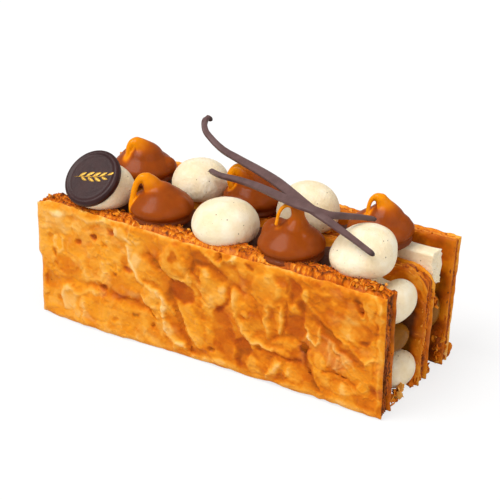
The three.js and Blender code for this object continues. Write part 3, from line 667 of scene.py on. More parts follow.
def outline_loop(height, spacing, corner=0.8):
    """Places round a sheet's rectangular outline with rounded corners, and the outward direction."""
    sides = []
    for x0, z0, x1, z1, turned in (
        (corner, 0, LENGTH - corner, 0, -90), (LENGTH, corner, LENGTH, height - corner, 0),
        (LENGTH - corner, height, corner, height, 90), (0, height - corner, 0, corner, 180),
    ):
        turned = math.radians(turned)
        t = np.linspace(0, 1, int(math.hypot(x1 - x0, z1 - z0) / spacing))
        sides.append([x0 + (x1 - x0) * t, z0 + (z1 - z0) * t, np.full(t.size, turned)])
        bend = np.linspace(turned, turned + math.pi / 2, 6)[1:-1]
        mid_x, mid_z = x1 - corner * math.cos(turned), z1 - corner * math.sin(turned)
        sides.append([mid_x + corner * np.cos(bend), mid_z + corner * np.sin(bend), bend])
    x, z, angle = np.concatenate(sides, 1)
    return x, z, np.cos(angle), np.sin(angle)


def band(grid):
    """Closes a wrapped grid of rings into a solid with a fan to a middle point at each side."""
    rows, columns = grid.shape[:2]
    points = np.concatenate([grid.reshape(-1, 3), grid[:, 0].mean(0)[None], grid[:, -1].mean(0)[None]])
    first = np.arange(rows) * columns
    after = np.roll(first, -1)
    near = np.stack([np.full(rows, rows * columns), after, first], 1)
    far = np.stack([np.full(rows, rows * columns + 1), first + columns - 1, after + columns - 1], 1)
    return points, [net(rows, columns, True), near, far]


def cut_leaves(
    sheet, leaves, seed, span=(0.08, 0.94), deep=1.0, spacing=0.3, rise=0.0, tan=0.0, brown=0.0,
):
    """The band of cut leaves. A place across the thickness belongs to one leaf, whose edge stands back
    by 0.1 to 1.5 mm, unevenly along it and broken off in places; the gap between two leaves stands back
    further still. What stands back is darker and redder: painted shade. Along the top lie crumbs, which
    stand up by the rise. Tan makes the front leaves paler than the back ones, and brown darkens the ends."""
    x, z, out_x, out_z = outline_loop(sheet["height"], spacing)
    run = np.arange(x.size) * spacing
    across = np.linspace(*span, int(sheet["thickness"] * (span[1] - span[0]) / 0.16))
    s, share = np.meshgrid(run, across, indexing="ij")
    place = share * leaves + 0.6 * crumple(s / 9.0, share * 2.0, 0.3, seed, 3) - 0.2
    leaf = np.floor(place)
    inside = place - leaf
    gap = smooth(np.abs(2 * inside - 1), 0.45, 0.95)
    long_wave = lattice(s / 7.0, leaf * 5.3, 0.5, seed + 3)
    short_wave = crumple(s / 1.5, leaf * 3.7, 0.5, seed + 5, 3, 0.6)
    broken = smooth(crumple(s / 2.6, leaf * 7.1, 0.5, seed + 9, 2), 0.05, 0.45)
    crumbs = crumple(s / 0.75, share * sheet["thickness"] / 0.75, 0.5, seed + 21, 3, 0.7)
    back = 0.38 + 0.30 * long_wave + 0.24 * short_wave + 0.70 * broken + 0.16 * crumbs
    hollow = gap * (0.75 + 0.45 * lattice(s / 1.6, leaf, 3.5, seed + 11))
    back = deep * np.maximum(back, -0.05) + 0.75 * deep * hollow
    on_top = smooth(out_z, 0.4, 0.9)[:, None] * smooth(share, 0.06, 0.3) * min(1.0, rise)
    inland = smooth(x, 12, 45) * smooth(LENGTH - x, 0, 10)
    inland = inland + 0.45 * smooth(x, 62, 80) * smooth(LENGTH - x, 2, 16)
    heap = rise * (0.10 + 0.90 * inland)[:, None] - 0.55 * crumbs - 0.25 * long_wave
    back = back * (1 - 0.8 * on_top) - heap * on_top
    base_x, base_z = sheet["outline"](x, z)
    at_x = base_x[:, None] - out_x[:, None] * back
    at_z = np.maximum(0.02, base_z[:, None] - out_z[:, None] * back)
    at_y = sheet_y(sheet, at_z, share) + 0.22 * crumple(s / 1.2, share * 7.0, 7.5, seed + 13, 2)
    if sheet is FRONT_SHEET:
        at_y = at_y + front_belly(at_x, at_z)
    streak = lattice(share * sheet["thickness"] / 0.34, s / 5.0, 2.5, seed + 25)
    own = lattice(leaf * 1.7, s / 12.0, 1.5, seed + 15)
    # Painted shade: the gaps between leaves, and leaf edges that stand back, are darker here and redder
    # below.
    layered = 0.50 + 0.34 * hollow + 0.16 * np.clip(back - 0.5, 0, 1.4) - 0.10 * crumbs
    layered = layered + 0.20 * own + 0.16 * streak + tan * (share - 0.55)
    layered = layered + brown * np.abs(out_x)[:, None]
    crumbly = 0.60 - 0.42 * crumbs + 0.10 * own
    tone = layered + on_top * (crumbly - layered)
    glass = -0.10 + 0.35 * crumple(s / 5.0, leaf * 2.3, 5.5, seed + 17, 2) - 0.1 * gap + 0.16 * on_top
    red = (0.25 * hollow + 0.2 * np.clip(back - 0.9, 0, 1)) * (1 - on_top)
    values = {"toast": tone, "red": red, "glass": glass}
    # The last two points are the hidden middles of the band's two sides.
    values = {key: np.append(value.ravel(), [0.6, 0.6]) for key, value in values.items()}
    return *band(np.stack([at_x, at_y, at_z], -1)), values


for name, sheet, leaves, seed, looks in LEAVES:
    add_piece(name, cut_leaves(sheet, leaves, seed, **looks), sheet["node"], pastry)

# ----------------------------------------------------------------------------------------------------
# Inner skins of the sheets and the outer skin of the back one: the same glaze, flatter and plainer
# where the filling was piped on.

# Name, sheet, -1 on a face that looks forwards and 1 on one that looks back, its marks, spacing of its
# points, strength of its relief, seed, how toasted it is, and how much darker it is inside, where the
# filling lies on it: partly soaking, partly painted shade between the sheets. The marks are a seed, how
# many spots and folds, and the height that they reach.
SKINS = [
    ("back_sheet_outer_skin", BACK_SHEET, 1, (7, 95, 46, 38.8), 0.32, 1.0, 203, 0.05, 0.0),
    ("back_sheet_inner_skin", BACK_SHEET, -1, (8, 26, 8, 38.8), 0.5, 0.5, 233, 0.16, 0.25),
    ("middle_sheet_front_skin", MIDDLE_SHEET, -1, (9, 40, 14, 38.0), 0.5, 0.6, 263, 0.0, 0.6),
    ("middle_sheet_back_skin", MIDDLE_SHEET, 1, (10, 40, 14, 38.0), 0.5, 0.6, 293, 0.08, 0.3),
    ("front_sheet_inner_skin", FRONT_SHEET, 1, (11, 40, 14, 38.0), 0.5, 0.6, 323, 0.20, 0.45),
]


def random_marks(seed, spots, folds, height):
    """Spots and folds for a face nobody arranged: random places, sizes and strengths."""
    rng = np.random.default_rng(seed)
    marks = []
    for _ in range(spots):
        size = rng.uniform(0.6, 1.6) if rng.random() < 0.45 else rng.uniform(2.0, 5.0)
        raised = rng.random() < 0.5
        dark = rng.uniform(-0.18, -0.05) if raised else rng.uniform(0.06, 0.24)
        out = rng.uniform(0.15, 0.5) if raised else rng.uniform(-0.5, -0.15)
        red = 0.0 if raised else rng.uniform(0, 0.8)
        oval = (rng.uniform(0, LENGTH), rng.uniform(0, height), size, size * rng.uniform(0.5, 1.3))
        turned = rng.uniform(-60, 60)
        marks.append((*oval, dark, out, red, rng.uniform(-0.1, 0.6), turned))
    lines = []
    for _ in range(folds):
        line = [np.array((rng.uniform(0, LENGTH), rng.uniform(0, height)))]
        heading = rng.uniform(-80, 10)
        for _ in range(rng.integers(2, 5)):
            heading += rng.uniform(-45, 45)
            length = rng.uniform(2.5, 6)
            turned = math.radians(heading)
            line.append(line[-1] + length * np.array((math.cos(turned), math.sin(turned))))
        raised = rng.random() < 0.55
        dark = rng.uniform(-0.26, -0.12) if raised else rng.uniform(0.14, 0.32)
        out = rng.uniform(0.25, 0.5) if raised else rng.uniform(-0.7, -0.3)
        red = 0.0 if raised else rng.uniform(0, 0.5)
        lines.append((line, rng.uniform(0.5, 1.1), dark, out, red, rng.uniform(-0.1, 0.5)))
    return marks, lines


def other_skin(sheet, side, marks, spacing, strength, seed, toasted, soak_and_shade):
    """A glazed face on one side of a sheet. Its ends and top are ragged by a lattice, and its relief
    fades out at the border."""
    height = sheet["height"]
    along, up = int(LENGTH / spacing), int(height / spacing)
    x, z = np.meshgrid(np.linspace(0, LENGTH, along), np.linspace(0, height, up), indexing="ij")
    lift, values = glazed_face(x, z, *random_marks(*marks), seed)
    at_x, at_z = sheet["outline"](x, z)
    ragged = 0.25 * lattice(z / 2.2, 0.5, 0.5, seed + 40) - 0.05
    at_x = at_x + ragged * (1 - smooth(x, 0, 4)) - ragged * smooth(x, LENGTH - 4, LENGTH)
    ragged = 0.25 * crumple(x / 2.6, 0.5, 0.5, seed + 42, 3)
    at_z = at_z - ragged * smooth(z, height - 4, height) + np.maximum(0, ragged) * (1 - smooth(z, 0, 4))
    border = np.minimum.reduce([x, LENGTH - x, height - z])
    inside = smooth(np.minimum(border, z), 0, 1.2)
    stand = np.clip(strength * lift * (0.3 + 0.7 * inside) - 0.35 * (1 - inside), -2.0, 0.32) - 0.32
    at_y = sheet_y(sheet, at_z, max(side, 0)) + side * stand
    # Painted shade, partly also soaking from the filling: the face is darker inside, away from its ends and
    # top.
    values["toast"] += toasted - (0.16 - 0.3 * soak_and_shade) * np.exp(-((border / 0.9) ** 2))
    values["toast"] += soak_and_shade * smooth(border, 1.0, 4.5) * (1 - smooth(z, 26, 32))
    return plate(np.stack([at_x, at_y, at_z], -1), np.array((0.0, -side, 0.0)), values)


for name, sheet, *looks in SKINS:
    add_piece(name, other_skin(sheet, *looks), sheet["node"], pastry)

# ----------------------------------------------------------------------------------------------------
# Loose flakes and crumbs: broken bits of leaf that lie on the cut edges, hang at the right ends of the
# gaps and stand at the foot of the sheets. Each is a thin crumpled disc of toasted pastry.

# Middle x, y, z and half sizes of a place they are strewn in, how many, and their toast.
END_FLAKES = [
    (118.9, 31.9, 26.0, 0.5, 0.8, 4.6, 16, 0.62), (118.6, 38.4, 4.6, 1.0, 2.2, 3.8, 26, 0.45),
    (118.9, 37.6, 9.0, 0.8, 2.0, 2.0, 10, 0.70), (118.4, 13.6, 2.6, 0.9, 2.2, 2.2, 20, 0.34),
    (118.3, 22.6, 1.7, 1.2, 3.0, 1.3, 20, 0.60), (119.0, 9.4, 2.2, 0.6, 1.6, 1.8, 10, 0.50),
    (118.9, 30.6, 2.6, 0.7, 1.2, 2.2, 12, 0.55), (119.2, 42.6, 2.0, 0.5, 1.0, 1.6, 8, 0.55),
]
TOP_FLAKES = [
    (70.0, 3.8, 39.0, 48.0, 2.6, 0.35, 150, 0.42), (104.0, 4.0, 38.8, 13.0, 2.6, 0.35, 60, 0.46),
    (8.0, 3.6, 37.6, 8.0, 2.6, 0.3, 20, 0.42), (50.0, 28.3, 38.2, 46.0, 2.4, 0.3, 40, 0.50),
    (60.0, 44.0, 38.4, 58.0, 1.4, 0.2, 50, 0.42),
]


def ball(rows, columns, open_end):
    """A unit ball's rings of latitude and longitude, which stop a small angle short of both poles."""
    down = np.linspace(open_end, np.pi - open_end, rows)[:, None]
    turned = np.linspace(0, 2 * np.pi, columns + 1)[:-1]
    ring = np.sin(down) * np.cos(turned), np.sin(down) * np.sin(turned), np.cos(down)
    return np.stack(np.broadcast_arrays(*ring), -1)


def tube(grid):
    """Closes rings of points, wrapped round, with a fan at each end."""
    return band(grid.transpose(1, 0, 2))


def joined(parts):
    """Several meshes as one: their points in one list, and their faces counted on."""
    starts = np.cumsum([0] + [len(points) for points, _ in parts])
    faces = [face + start for (_, part), start in zip(parts, starts) for face in part]
    return np.concatenate([points for points, _ in parts]), faces


def flakes(places, seed, smallest, largest):
    """Discs at random places and turns: a ball squeezed to a sixth along one axis and pushed about by a
    crumple."""
    rng = np.random.default_rng(seed)
    unit = ball(6, 9, 0.1) * np.array((1.0, 0.75, 0.18))
    discs, tones = [], []
    for *box, count, tone in places:
        for _ in range(count):
            middle = np.array(box[:3]) + np.array(box[3:]) * rng.uniform(-1, 1, 3)
            axes, _ = np.linalg.qr(rng.normal(size=(3, 3)))
            disc = unit * rng.uniform(smallest, largest)
            bend = crumple(disc[..., 0] * 1.5, disc[..., 1] * 1.5, 0.5, int(rng.integers(999)), 2)
            disc = disc + 0.22 * bend[..., None] * np.array((0.4, 0.4, 1.0))
            disc = middle + disc @ axes.T
            disc[..., 2] = np.maximum(disc[..., 2], 0.05)
            disc[..., 0] = np.clip(disc[..., 0], -0.2, LENGTH + 0.5)
            discs.append(tube(disc))
            tones.append(np.full(len(discs[-1][0]), tone + rng.uniform(-0.22, 0.18)))
    return *joined(discs), {"toast": np.concatenate(tones)}


add_piece("end_flakes", flakes(END_FLAKES, 51, 0.8, 1.6), "pastry_middle", pastry)
add_piece("top_flakes", flakes(TOP_FLAKES, 52, 0.45, 1.0), "pastry_front", pastry)

# ----------------------------------------------------------------------------------------------------
# Fillings: six rows of piped balls, vanilla cream above and below with caramel between, pressed flat
# between the sheets. They bulge out at both ends.

PRESSED = 0.05  # how far short of the skins the rows are pressed flat
# Height, half height, ball width, overhang, how little it is pinched, and whether in front. Then the last
# ball on the right: its middle x, y, z and its half sizes, or the half sizes of a squarely cut end.
ROWS = [
    ("cream_row_front_top", 32.2, 5.7, 14.0, 0.2, 0.84, True, (115.2, 15.4, 29.4, 5.2, 8.4, 5.9)),
    ("caramel_row_front", 21.2, 4.6, 12.0, -0.6, 0.80, True, (114.8, 15.0, 18.0, 4.2, 6.6, 3.9)),
    ("cream_row_front_bottom", 10.2, 6.0, 14.0, 0.6, 0.80, True, (115.2, 17.6, 6.7, 5.2, 7.2, 5.3)),
    ("cream_row_back_top", 32.6, 5.2, 12.0, -1.8, 0.84, False, (118.0, 34.2, 32.7, 0.0, 3.4, 5.2)),
    ("caramel_row_back", 20.8, 5.4, 12.0, -2.2, 0.80, False, (114.8, 36.6, 17.6, 3.8, 4.4, 5.8)),
    ("cream_row_back_bottom", 8.6, 5.6, 12.0, -1.4, 0.80, False, (111.0, 34.6, 8.0, 5.2, 5.6, 5.4)),
]


def cream_finish():
    """Ivory cream with tiny dark seeds in some of the cells of a Voronoi pattern. Where the attribute
    says so, it turns dark brown: partly caramel that has run over it, partly painted shade."""
    material, place, shader = start_finish(
        "vanilla_cream", Roughness=0.6, Specular_IOR_Level=0.3, Subsurface_Weight=0.25,
        Subsurface_Radius=(0.003, 0.0028, 0.0021), Subsurface_Scale=0.5,
    )
    cloud = grainy(place, 5.0, 3.0)
    colour = cloud.ramp((0.30, "F3DDB3"), (0.50, "F9E6C3"), (0.70, "FEF0D6"))
    for size, share, radius in ((1.9, 0.58, 0.090), (1.0, 0.72, 0.07)):
        cells = {"Vector": place, "Scale": 1 / size}
        seeds = place.node("TexVoronoi", inputs=cells)
        chance = place.node("TexVoronoi", inputs=cells, output="Color")
        chance = chance.node("SeparateColor", inputs={"Color": chance}, output="Red")
        dot = (1 - seeds.step(radius * 0.8, radius * 1.5)) * chance.math("GREATER_THAN", share)
        colour = colour.tint("6B5636", dot * 0.85)
    # Painted shade, partly also caramel: the tops of the rows between the kisses turn dark brown.
    runs = (place.read("syrup") + (grainy(place, 2.2, 3.0) - 0.5) * 0.9).step(0.42, 0.60)
    colour = colour.tint("5E2406", runs * 0.97)
    plug(shader, colour, "Base Color")
    raise_surface(shader, grainy(place, 0.9, 4.0, 0.6) * 0.6 + grainy(place, 2.6, 3.0) * 0.8, 0.42)
    return material


def caramel_finish(name, *stops):
    """Brown caramel cream that turns to clear orange where the attribute says that it is thin, and that
    is darker towards its foot. The foot itself is duller and greyer."""
    material, place, shader = start_finish(
        name, Coat_Roughness=0.17, Coat_Weight=0.15, Specular_IOR_Level=0.05, Subsurface_Weight=0.1,
        Subsurface_Radius=(0.004, 0.0015, 0.0005), Subsurface_Scale=0.4,
    )
    thin, deep, foot = (place.read(attribute) for attribute in ("thin", "deep", "foot"))
    cloud = grainy(place, 4.0, 3.0)
    streak = grainy(place, 1.5, 3.0, 0.5, (1.0, 1.0, 0.25))
    tone = thin * 0.8 + 0.205 + (cloud - 0.5) * 0.16 + (streak - 0.5) * 0.08 - deep * 0.2
    colour = tone.ramp(*stops).tint("7C4024", foot * 0.45)
    plug(shader, colour, "Base Color")
    plug(shader, 0.44 + (cloud - 0.5) * 0.2 - (thin * 0.12).held(), "Roughness")
    raise_surface(shader, grainy(place, 1.6, 3.0) * 0.6 + streak * 0.4, 0.16)
    return material


cream = cream_finish()
caramel = caramel_finish(
    "caramel", (0.00, "6A2A08"), (0.22, "95430A"), (0.45, "AC5006"), (0.72, "D07004"), (1.00, "EE9004"),
)
filling_caramel = caramel_finish(
    "filling_caramel", (0.00, "6A4010"), (0.10, "8A5614"), (0.30, "A8681C"),
)


def squared(angle, power):
    """An angle's cosine and sine, raised to a power with their signs kept: at 1 they draw a circle, and
    towards 0 a square."""
    return [np.sign(wave) * np.abs(wave) ** power for wave in (np.cos(angle), np.sin(angle))]


def row_of_balls(height, half, ball, overhang, core, front, last, seed):
    """Overlapping balls along x: the swell at a place is the highest of their round outlines and the
    core. It is pressed flat where it meets the sheets on both sides. A cut end is square and torn."""
    last_x, last_y, last_z, last_long, last_wide, last_high = last
    cut = last_long == 0
    start, end = -overhang, last_x + last_long
    last_centre = last_x if last_long else end + ball
    balls = int(round((last_centre - start - ball / 2) / (0.84 * ball))) + 1
    centres = np.linspace(start + ball / 2, last_centre, balls)
    x = np.linspace(start, end, 330)
    reach = np.where(np.arange(balls) == balls - 1, last_long or ball / 2, ball / 2)
    near = (np.abs(x[:, None] - centres) / reach).min(1)
    swell = np.sqrt(np.maximum(4e-4, 1 - near**2))
    inner = (x > centres[0]) & (x < centres[-1])
    swell = np.where(inner, np.maximum(swell, core * 0.9), swell)
    turned = smooth(x, 102, 110)  # from the row's own section into the last ball's
    angle = np.linspace(0, 2 * np.pi, 65)[:-1]
    square = 1 - 0.62 * turned[:, None] * cut
    if cut:
        swell = swell + (1 - swell) * turned
        face = np.array((0.99, 0.97, 0.9, 0.78, 0.6, 0.4, 0.2, 0.05))
        x, swell, turned = (np.append(a, np.full(face.size, a[-1])) for a in (x, swell, turned))
        swell[-face.size:] = face
        square = np.append(square, np.full((face.size, 1), square[-1, 0]), 0)
    cos, sin = squared(angle, square)
    bumps = crumple(np.sin(angle) * 1.3, x[:, None] / 7, np.cos(angle) * 1.3, seed, 2)
    size = swell[:, None] * (1 + 0.04 * bumps)
    mid_z = height + (last_z - height) * turned[:, None]
    z = mid_z - (half + (last_high - half) * turned[:, None]) * sin * size
    before, after = (FRONT_SHEET, MIDDLE_SHEET) if front else (MIDDLE_SHEET, BACK_SHEET)
    near_y, far_y = sheet_y(before, z, 1.0) + PRESSED, sheet_y(after, z, 0.0) - PRESSED
    mid_y = (near_y + far_y) / 2
    mid_y = mid_y + (last_y - mid_y) * turned[:, None]
    wide = 0.62 * (far_y - near_y)
    y = mid_y + (wide + (last_wide - wide) * turned[:, None]) * cos * size
    y = np.clip(y, near_y, far_y)
    x = x[:, None] + 0.0 * y
    if cut:
        x = x + 0.9 * crumple(0.5, y / 1.6, z / 1.6, seed + 3, 3) * smooth(x, end - 2.0, end)
    return np.stack([x, y, z], -1)


for k, (name, *sizes) in enumerate(ROWS):
    points, faces = tube(row_of_balls(*sizes, 400 + k))
    # The tops of the top rows between the kisses turn dark brown: partly caramel that has run down onto
    # them, partly painted shade under the kisses.
    syrup = smooth(points[:, 2], 34.4, 36.4) * (1 - smooth(np.abs(points[:, 0] - 53), 40, 46))
    shape = points, faces, {"syrup": syrup, "deep": np.full(len(points), 0.6)}
    slot = name.split("_")[0]
    finish = cream if slot == "cream" else filling_caramel
    add_piece(name.replace("row", "filling"), shape, name, finish)

# ----------------------------------------------------------------------------------------------------
# Cream kisses: five low caps of vanilla cream, piped straight down from a plain round nozzle.

KISS_BASE = 38.2  # the height that the kisses stand on
# Middle of the foot, radius, height, and where the peak leans to.
CREAM_KISSES = [
    (18.2, 9.8, 9.6, 11.5, (18.2, 9.8)), (39.6, 30.4, 8.9, 11.0, (39.6, 30.4)),
    (62.8, 8.9, 9.9, 11.3, (62.8, 8.9)), (78.4, 29.0, 9.3, 13.2, (78.4, 29.0)),
    (105.8, 12.4, 9.4, 12.6, (106.6, 13.8)),
]
# Radius against height.
CREAM_PROFILE = [
    (0.55, 0.0), (0.76, 0.01), (0.93, 0.13), (1.0, 0.32), (0.95, 0.54), (0.78, 0.77), (0.48, 0.93),
    (0.18, 0.99), (0.004, 1.0),
]


def through(points, share):
    """A smooth curve through the points, by cubic steps whose slopes follow the neighbouring points.
    Share runs from 0 to 1 along the broken line between them."""
    points = np.asarray(points, float)
    gaps = np.maximum(np.linalg.norm(np.diff(points, axis=0), axis=1), 1e-6)
    knots = np.concatenate([[0], np.cumsum(gaps)])
    steps = np.diff(points, axis=0) / gaps[:, None]
    slopes = np.empty_like(points)
    slopes[0], slopes[-1] = steps[0], steps[-1]
    weight = (gaps[1:] / (gaps[:-1] + gaps[1:]))[:, None]
    slopes[1:-1] = weight * steps[:-1] + (1 - weight) * steps[1:]
    at = np.clip(np.asarray(share, float), 0, 1) * knots[-1]
    i = np.clip(np.searchsorted(knots, at, side="right") - 1, 0, len(gaps) - 1)
    t = ((at - knots[i]) / gaps[i])[..., None]
    gap = gaps[i][..., None]
    first = (1 + 2 * t) * (1 - t) ** 2 * points[i] + t * (1 - t) ** 2 * gap * slopes[i]
    return first + t * t * (3 - 2 * t) * points[i + 1] + t * t * (t - 1) * gap * slopes[i + 1]


def kiss(x, y, radius, height, peak, profile, seed, dents=0.02, rings=72, sides=96):
    """A profile of radius against height turned about an axis that leans over to the peak."""
    wide, rise = through(profile, np.linspace(0, 1, rings)).T
    angle = np.linspace(0, 2 * np.pi, sides + 1)[:-1]
    rise, a = np.meshgrid(rise, angle, indexing="ij")
    r = radius * wide[:, None]
    r = r * (1 + dents * crumple(1.1 * np.cos(a), 1.1 * np.sin(a), 1.6 * rise, seed, 3))
    lean = smooth(rise, 0.25, 0.95)
    mid_x, mid_y = x + (peak[0] - x) * lean, y + (peak[1] - y) * lean
    return np.stack([mid_x + r * np.cos(a), mid_y + r * np.sin(a), KISS_BASE + height * rise], -1)


DISC_CENTRE = np.array((17.2, 5.0, 47.6))
DISC_FACING = np.array((-0.07, -0.68, 0.73)) / np.linalg.norm((-0.07, -0.68, 0.73))
DISC_THICKNESS = 2.6
for k, sizes in enumerate(CREAM_KISSES):
    grid = kiss(*sizes, CREAM_PROFILE, 500 + 7 * k)
    if k == 0:
        # The medallion has pressed a flat into it: what stood in front of the disc's back is pushed in.
        proud = (grid - DISC_CENTRE) @ DISC_FACING + DISC_THICKNESS + 0.05
        grid = grid - np.maximum(0, proud)[..., None] * DISC_FACING
        grid[..., 2] = np.maximum(grid[..., 2], KISS_BASE)
    add_piece(f"cream_dollop_{k + 1}", (*tube(grid), {}), f"cream_kiss_{k + 1}", cream)

# ----------------------------------------------------------------------------------------------------
# Caramel kisses: five drops of soft caramel cream on a spread foot. Each was pulled up to a neck that
# falls over to the left and ends in a thin clear strand. Body and neck are melted into one skin.

# Middle of the body and its radius, the neck and strand (x, y, z and radius of a swept ball), and the
# lobes of the foot, which are balls too.
CARAMEL_KISSES = [
    (17.6, 31.2, 9.6, [
        (18.0, 31.2, 43.4, 6.6), (17.7, 30.7, 46.8, 4.0), (17.2, 30.0, 48.7, 2.8), (16.5, 29.4, 49.8, 2.1),
        (15.7, 28.7, 49.9, 1.6), (15.1, 27.9, 48.9, 1.3), (15.0, 27.1, 47.2, 1.0), (15.3, 26.3, 45.3, 0.8),
        (16.2, 25.4, 43.5, 0.7),
    ], [(24.2, 34.2, 42.2, 3.3), (21.3, 32.3, 42.9, 4.1), (13.2, 31.6, 42.6, 4.4)]),
    (39.6, 9.8, 9.7, [
        (39.2, 10.0, 43.4, 5.8), (37.6, 9.3, 46.6, 3.3), (36.5, 8.7, 48.7, 2.6), (35.7, 8.1, 50.1, 1.9),
        (34.7, 7.3, 50.5, 1.4), (33.6, 6.3, 49.4, 1.0), (33.1, 5.4, 47.4, 0.9), (33.0, 4.6, 45.0, 0.9),
        (33.1, 3.8, 42.8, 0.95), (33.4, 3.2, 41.0, 0.8),
    ], [(45.0, 10.2, 42.2, 4.1)]),
    (58.4, 30.8, 9.3, [
        (59.0, 30.5, 44.8, 5.4), (58.0, 30.0, 47.5, 4.2), (56.6, 29.4, 49.2, 3.2), (55.0, 29.0, 50.2, 2.2),
        (53.7, 28.3, 50.2, 1.65), (52.8, 27.4, 49.0, 1.4), (52.9, 26.6, 47.4, 1.2), (53.4, 26.0, 45.8, 1.0),
    ], [(54.2, 23.4, 43.6, 1.1)]),
    (84.7, 9.3, 9.8, [
        (85.6, 9.6, 44.2, 5.2), (86.2, 9.8, 47.2, 3.3), (86.2, 9.9, 49.0, 2.3), (86.1, 10.0, 51.0, 1.9),
        (85.5, 9.7, 52.6, 1.45), (84.5, 9.2, 53.4, 0.95), (83.4, 8.6, 53.4, 0.66), (82.4, 7.8, 52.7, 0.56),
        (81.8, 6.9, 51.2, 0.52), (81.7, 6.2, 49.6, 0.5), (81.9, 5.3, 48.4, 0.5),
    ], [(79.8, 9.4, 43.6, 4.6), (89.6, 9.6, 43.2, 4.6)]),
    (101.0, 31.7, 9.7, [
        (102.2, 31.8, 43.6, 6.4), (102.5, 31.8, 46.8, 4.0), (101.9, 31.6, 49.2, 2.5),
        (101.1, 31.2, 51.1, 1.8), (99.9, 30.5, 51.9, 1.1), (98.8, 29.8, 51.2, 0.75),
        (98.3, 29.0, 49.4, 0.62), (98.4, 28.2, 47.4, 0.6), (98.8, 27.4, 45.4, 0.6),
    ], [(106.1, 32.6, 43.2, 4.3), (108.3, 33.6, 43.3, 2.4)]),
]
# Radius against height: a foot, a crease, the swell of the body and a low shoulder.
CARAMEL_PROFILE = [
    (0.60, 0.0), (0.90, 0.01), (0.96, 0.06), (0.95, 0.12), (0.86, 0.18), (0.93, 0.24), (1.0, 0.33),
    (0.98, 0.44), (0.87, 0.58), (0.70, 0.72), (0.48, 0.87), (0.22, 0.97), (0.004, 1.0),
]
CARAMEL_RISE = 10.2  # of the body, in millimetres
THICK_NECK = 1.7  # a neck wider than this is melted in with the body, before the strand is joined on
BODY_CELL, STRAND_CELL = 0.30, 0.19  # of the cubes that each step is remeshed in


def balls_along(spine):
    """Closed balls that follow a smooth curve of places and radii, about a third of a radius apart: the
    shape a ball sweeps when it shrinks on its way."""
    fine = through(spine, np.linspace(0, 1, 400))
    picked = [fine[0]]
    for place in fine:
        if np.linalg.norm(place[:3] - picked[-1][:3]) > 0.33 * place[3]:
            picked.append(place)
    return [tube(place[:3] + place[3] * ball(12, 16, 0.02)) for place in picked]


def melt(parts, cell, passes):
    """Joins closed meshes into one skin: remeshed in cubes of that size in millimetres, then relaxed.
    Gives the new points and faces."""
    mesh = new_mesh("melt", *joined([(points, outwards(points, faces)) for points, faces in parts]))
    thing = bpy.data.objects.new("melt", mesh)
    scene.collection.objects.link(thing)
    cubes = thing.modifiers.new("cubes", "REMESH")
    cubes.mode = "VOXEL"
    cubes.voxel_size = cell / 1000
    relax = thing.modifiers.new("relax", "SMOOTH")
    relax.factor = 0.5
    relax.iterations = passes
    bpy.context.view_layer.update()
    made = thing.evaluated_get(bpy.context.evaluated_depsgraph_get()).to_mesh()
    points = np.empty(len(made.vertices) * 3)
    made.vertices.foreach_get("co", points)
    sizes = np.empty(len(made.polygons), int)
    made.polygons.foreach_get("loop_total", sizes)
    corners = np.empty(len(made.loops), int)
    made.loops.foreach_get("vertex_index", corners)
    starts = np.cumsum(sizes) - sizes
    faces = [corners[starts[sizes == n][:, None] + np.arange(n)] for n in np.unique(sizes)]
    thing.to_mesh_clear()
    bpy.data.objects.remove(thing)
    bpy.data.meshes.remove(mesh)
    return points.reshape(-1, 3) * 1000, faces


for k, (x, y, radius, spine, lobes) in enumerate(CARAMEL_KISSES):
    body = tube(kiss(x, y, radius, CARAMEL_RISE, (x, y), CARAMEL_PROFILE, 600 + 9 * k, 0.022))
    lobes = [part for *place, size in lobes for part in balls_along([(*place, size), (*place, size * 0.9)])]
    thick = sum(place[3] > THICK_NECK for place in spine)
    body = melt([body, *balls_along(spine[:thick]), *lobes], BODY_CELL, 16)
    points, faces = melt([body, *balls_along(spine[thick - 1:])], STRAND_CELL, 5)
    neck = through(spine, np.linspace(0, 1, 120))
    away = np.linalg.norm(points[:, None] - neck[None, :, :3], axis=2)
    girth = neck[away.argmin(1), 3]
    # The neck is clear where it is slender, and the body darkens towards the sheets.
    close = 1 - smooth(away.min(1) - girth, 0.1, 1.6)
    clear = (1 - smooth(girth, 1.2, 4.4)) * (0.45 if k == 3 else 1.0)
    values = {
        "thin": close * np.maximum(clear, 1 - smooth(girth, 0.7, 1.3)),
        "deep": 1 - smooth(points[:, 2], KISS_BASE, KISS_BASE + 4.5),
        "foot": 1 - smooth(points[:, 2], KISS_BASE + 1.4, KISS_BASE + 2.2),
    }
    add_piece(f"caramel_drop_{k + 1}", (points, faces, values), f"caramel_kiss_{k + 1}", caramel)

# ----------------------------------------------------------------------------------------------------
# Medallion: a moulded dark chocolate disc with a raised rim, leaning back on the first cream kiss. A
# sprig of leaves is printed on it in gold powder.


def chocolate_finish(name, dark, light, shine):
    """Tempered chocolate: a soft sheen over a faint bloom, darker where the attribute says so, which is
    painted shade.
    """
    material, place, shader = start_finish(
        name, Coat_Roughness=0.3, Coat_Weight=shine, Specular_IOR_Level=0.22,
    )
    cloud = grainy(place, 3.0, 4.0)
    colour = cloud.ramp((0.35, dark), (0.65, light))
    plug(shader, colour.tint("1C1012", place.read("shade")), "Base Color")
    plug(shader, 0.42 + (cloud - 0.5) * 0.15, "Roughness")
    raise_surface(shader, grainy(place, 0.9, 4.0), 0.06)
    return material


medallion_chocolate = chocolate_finish("medallion_chocolate", "2C1213", "381C1B", 0.06)
pod_chocolate = chocolate_finish("pod_chocolate", "5C4442", "6A504E", 0.0)

# Two directions in the disc's face: level to the right, and up the face.
disc_right = np.cross((0.0, 0.0, 1.0), DISC_FACING)
disc_right /= np.linalg.norm(disc_right)
disc_up = np.cross(DISC_FACING, disc_right)
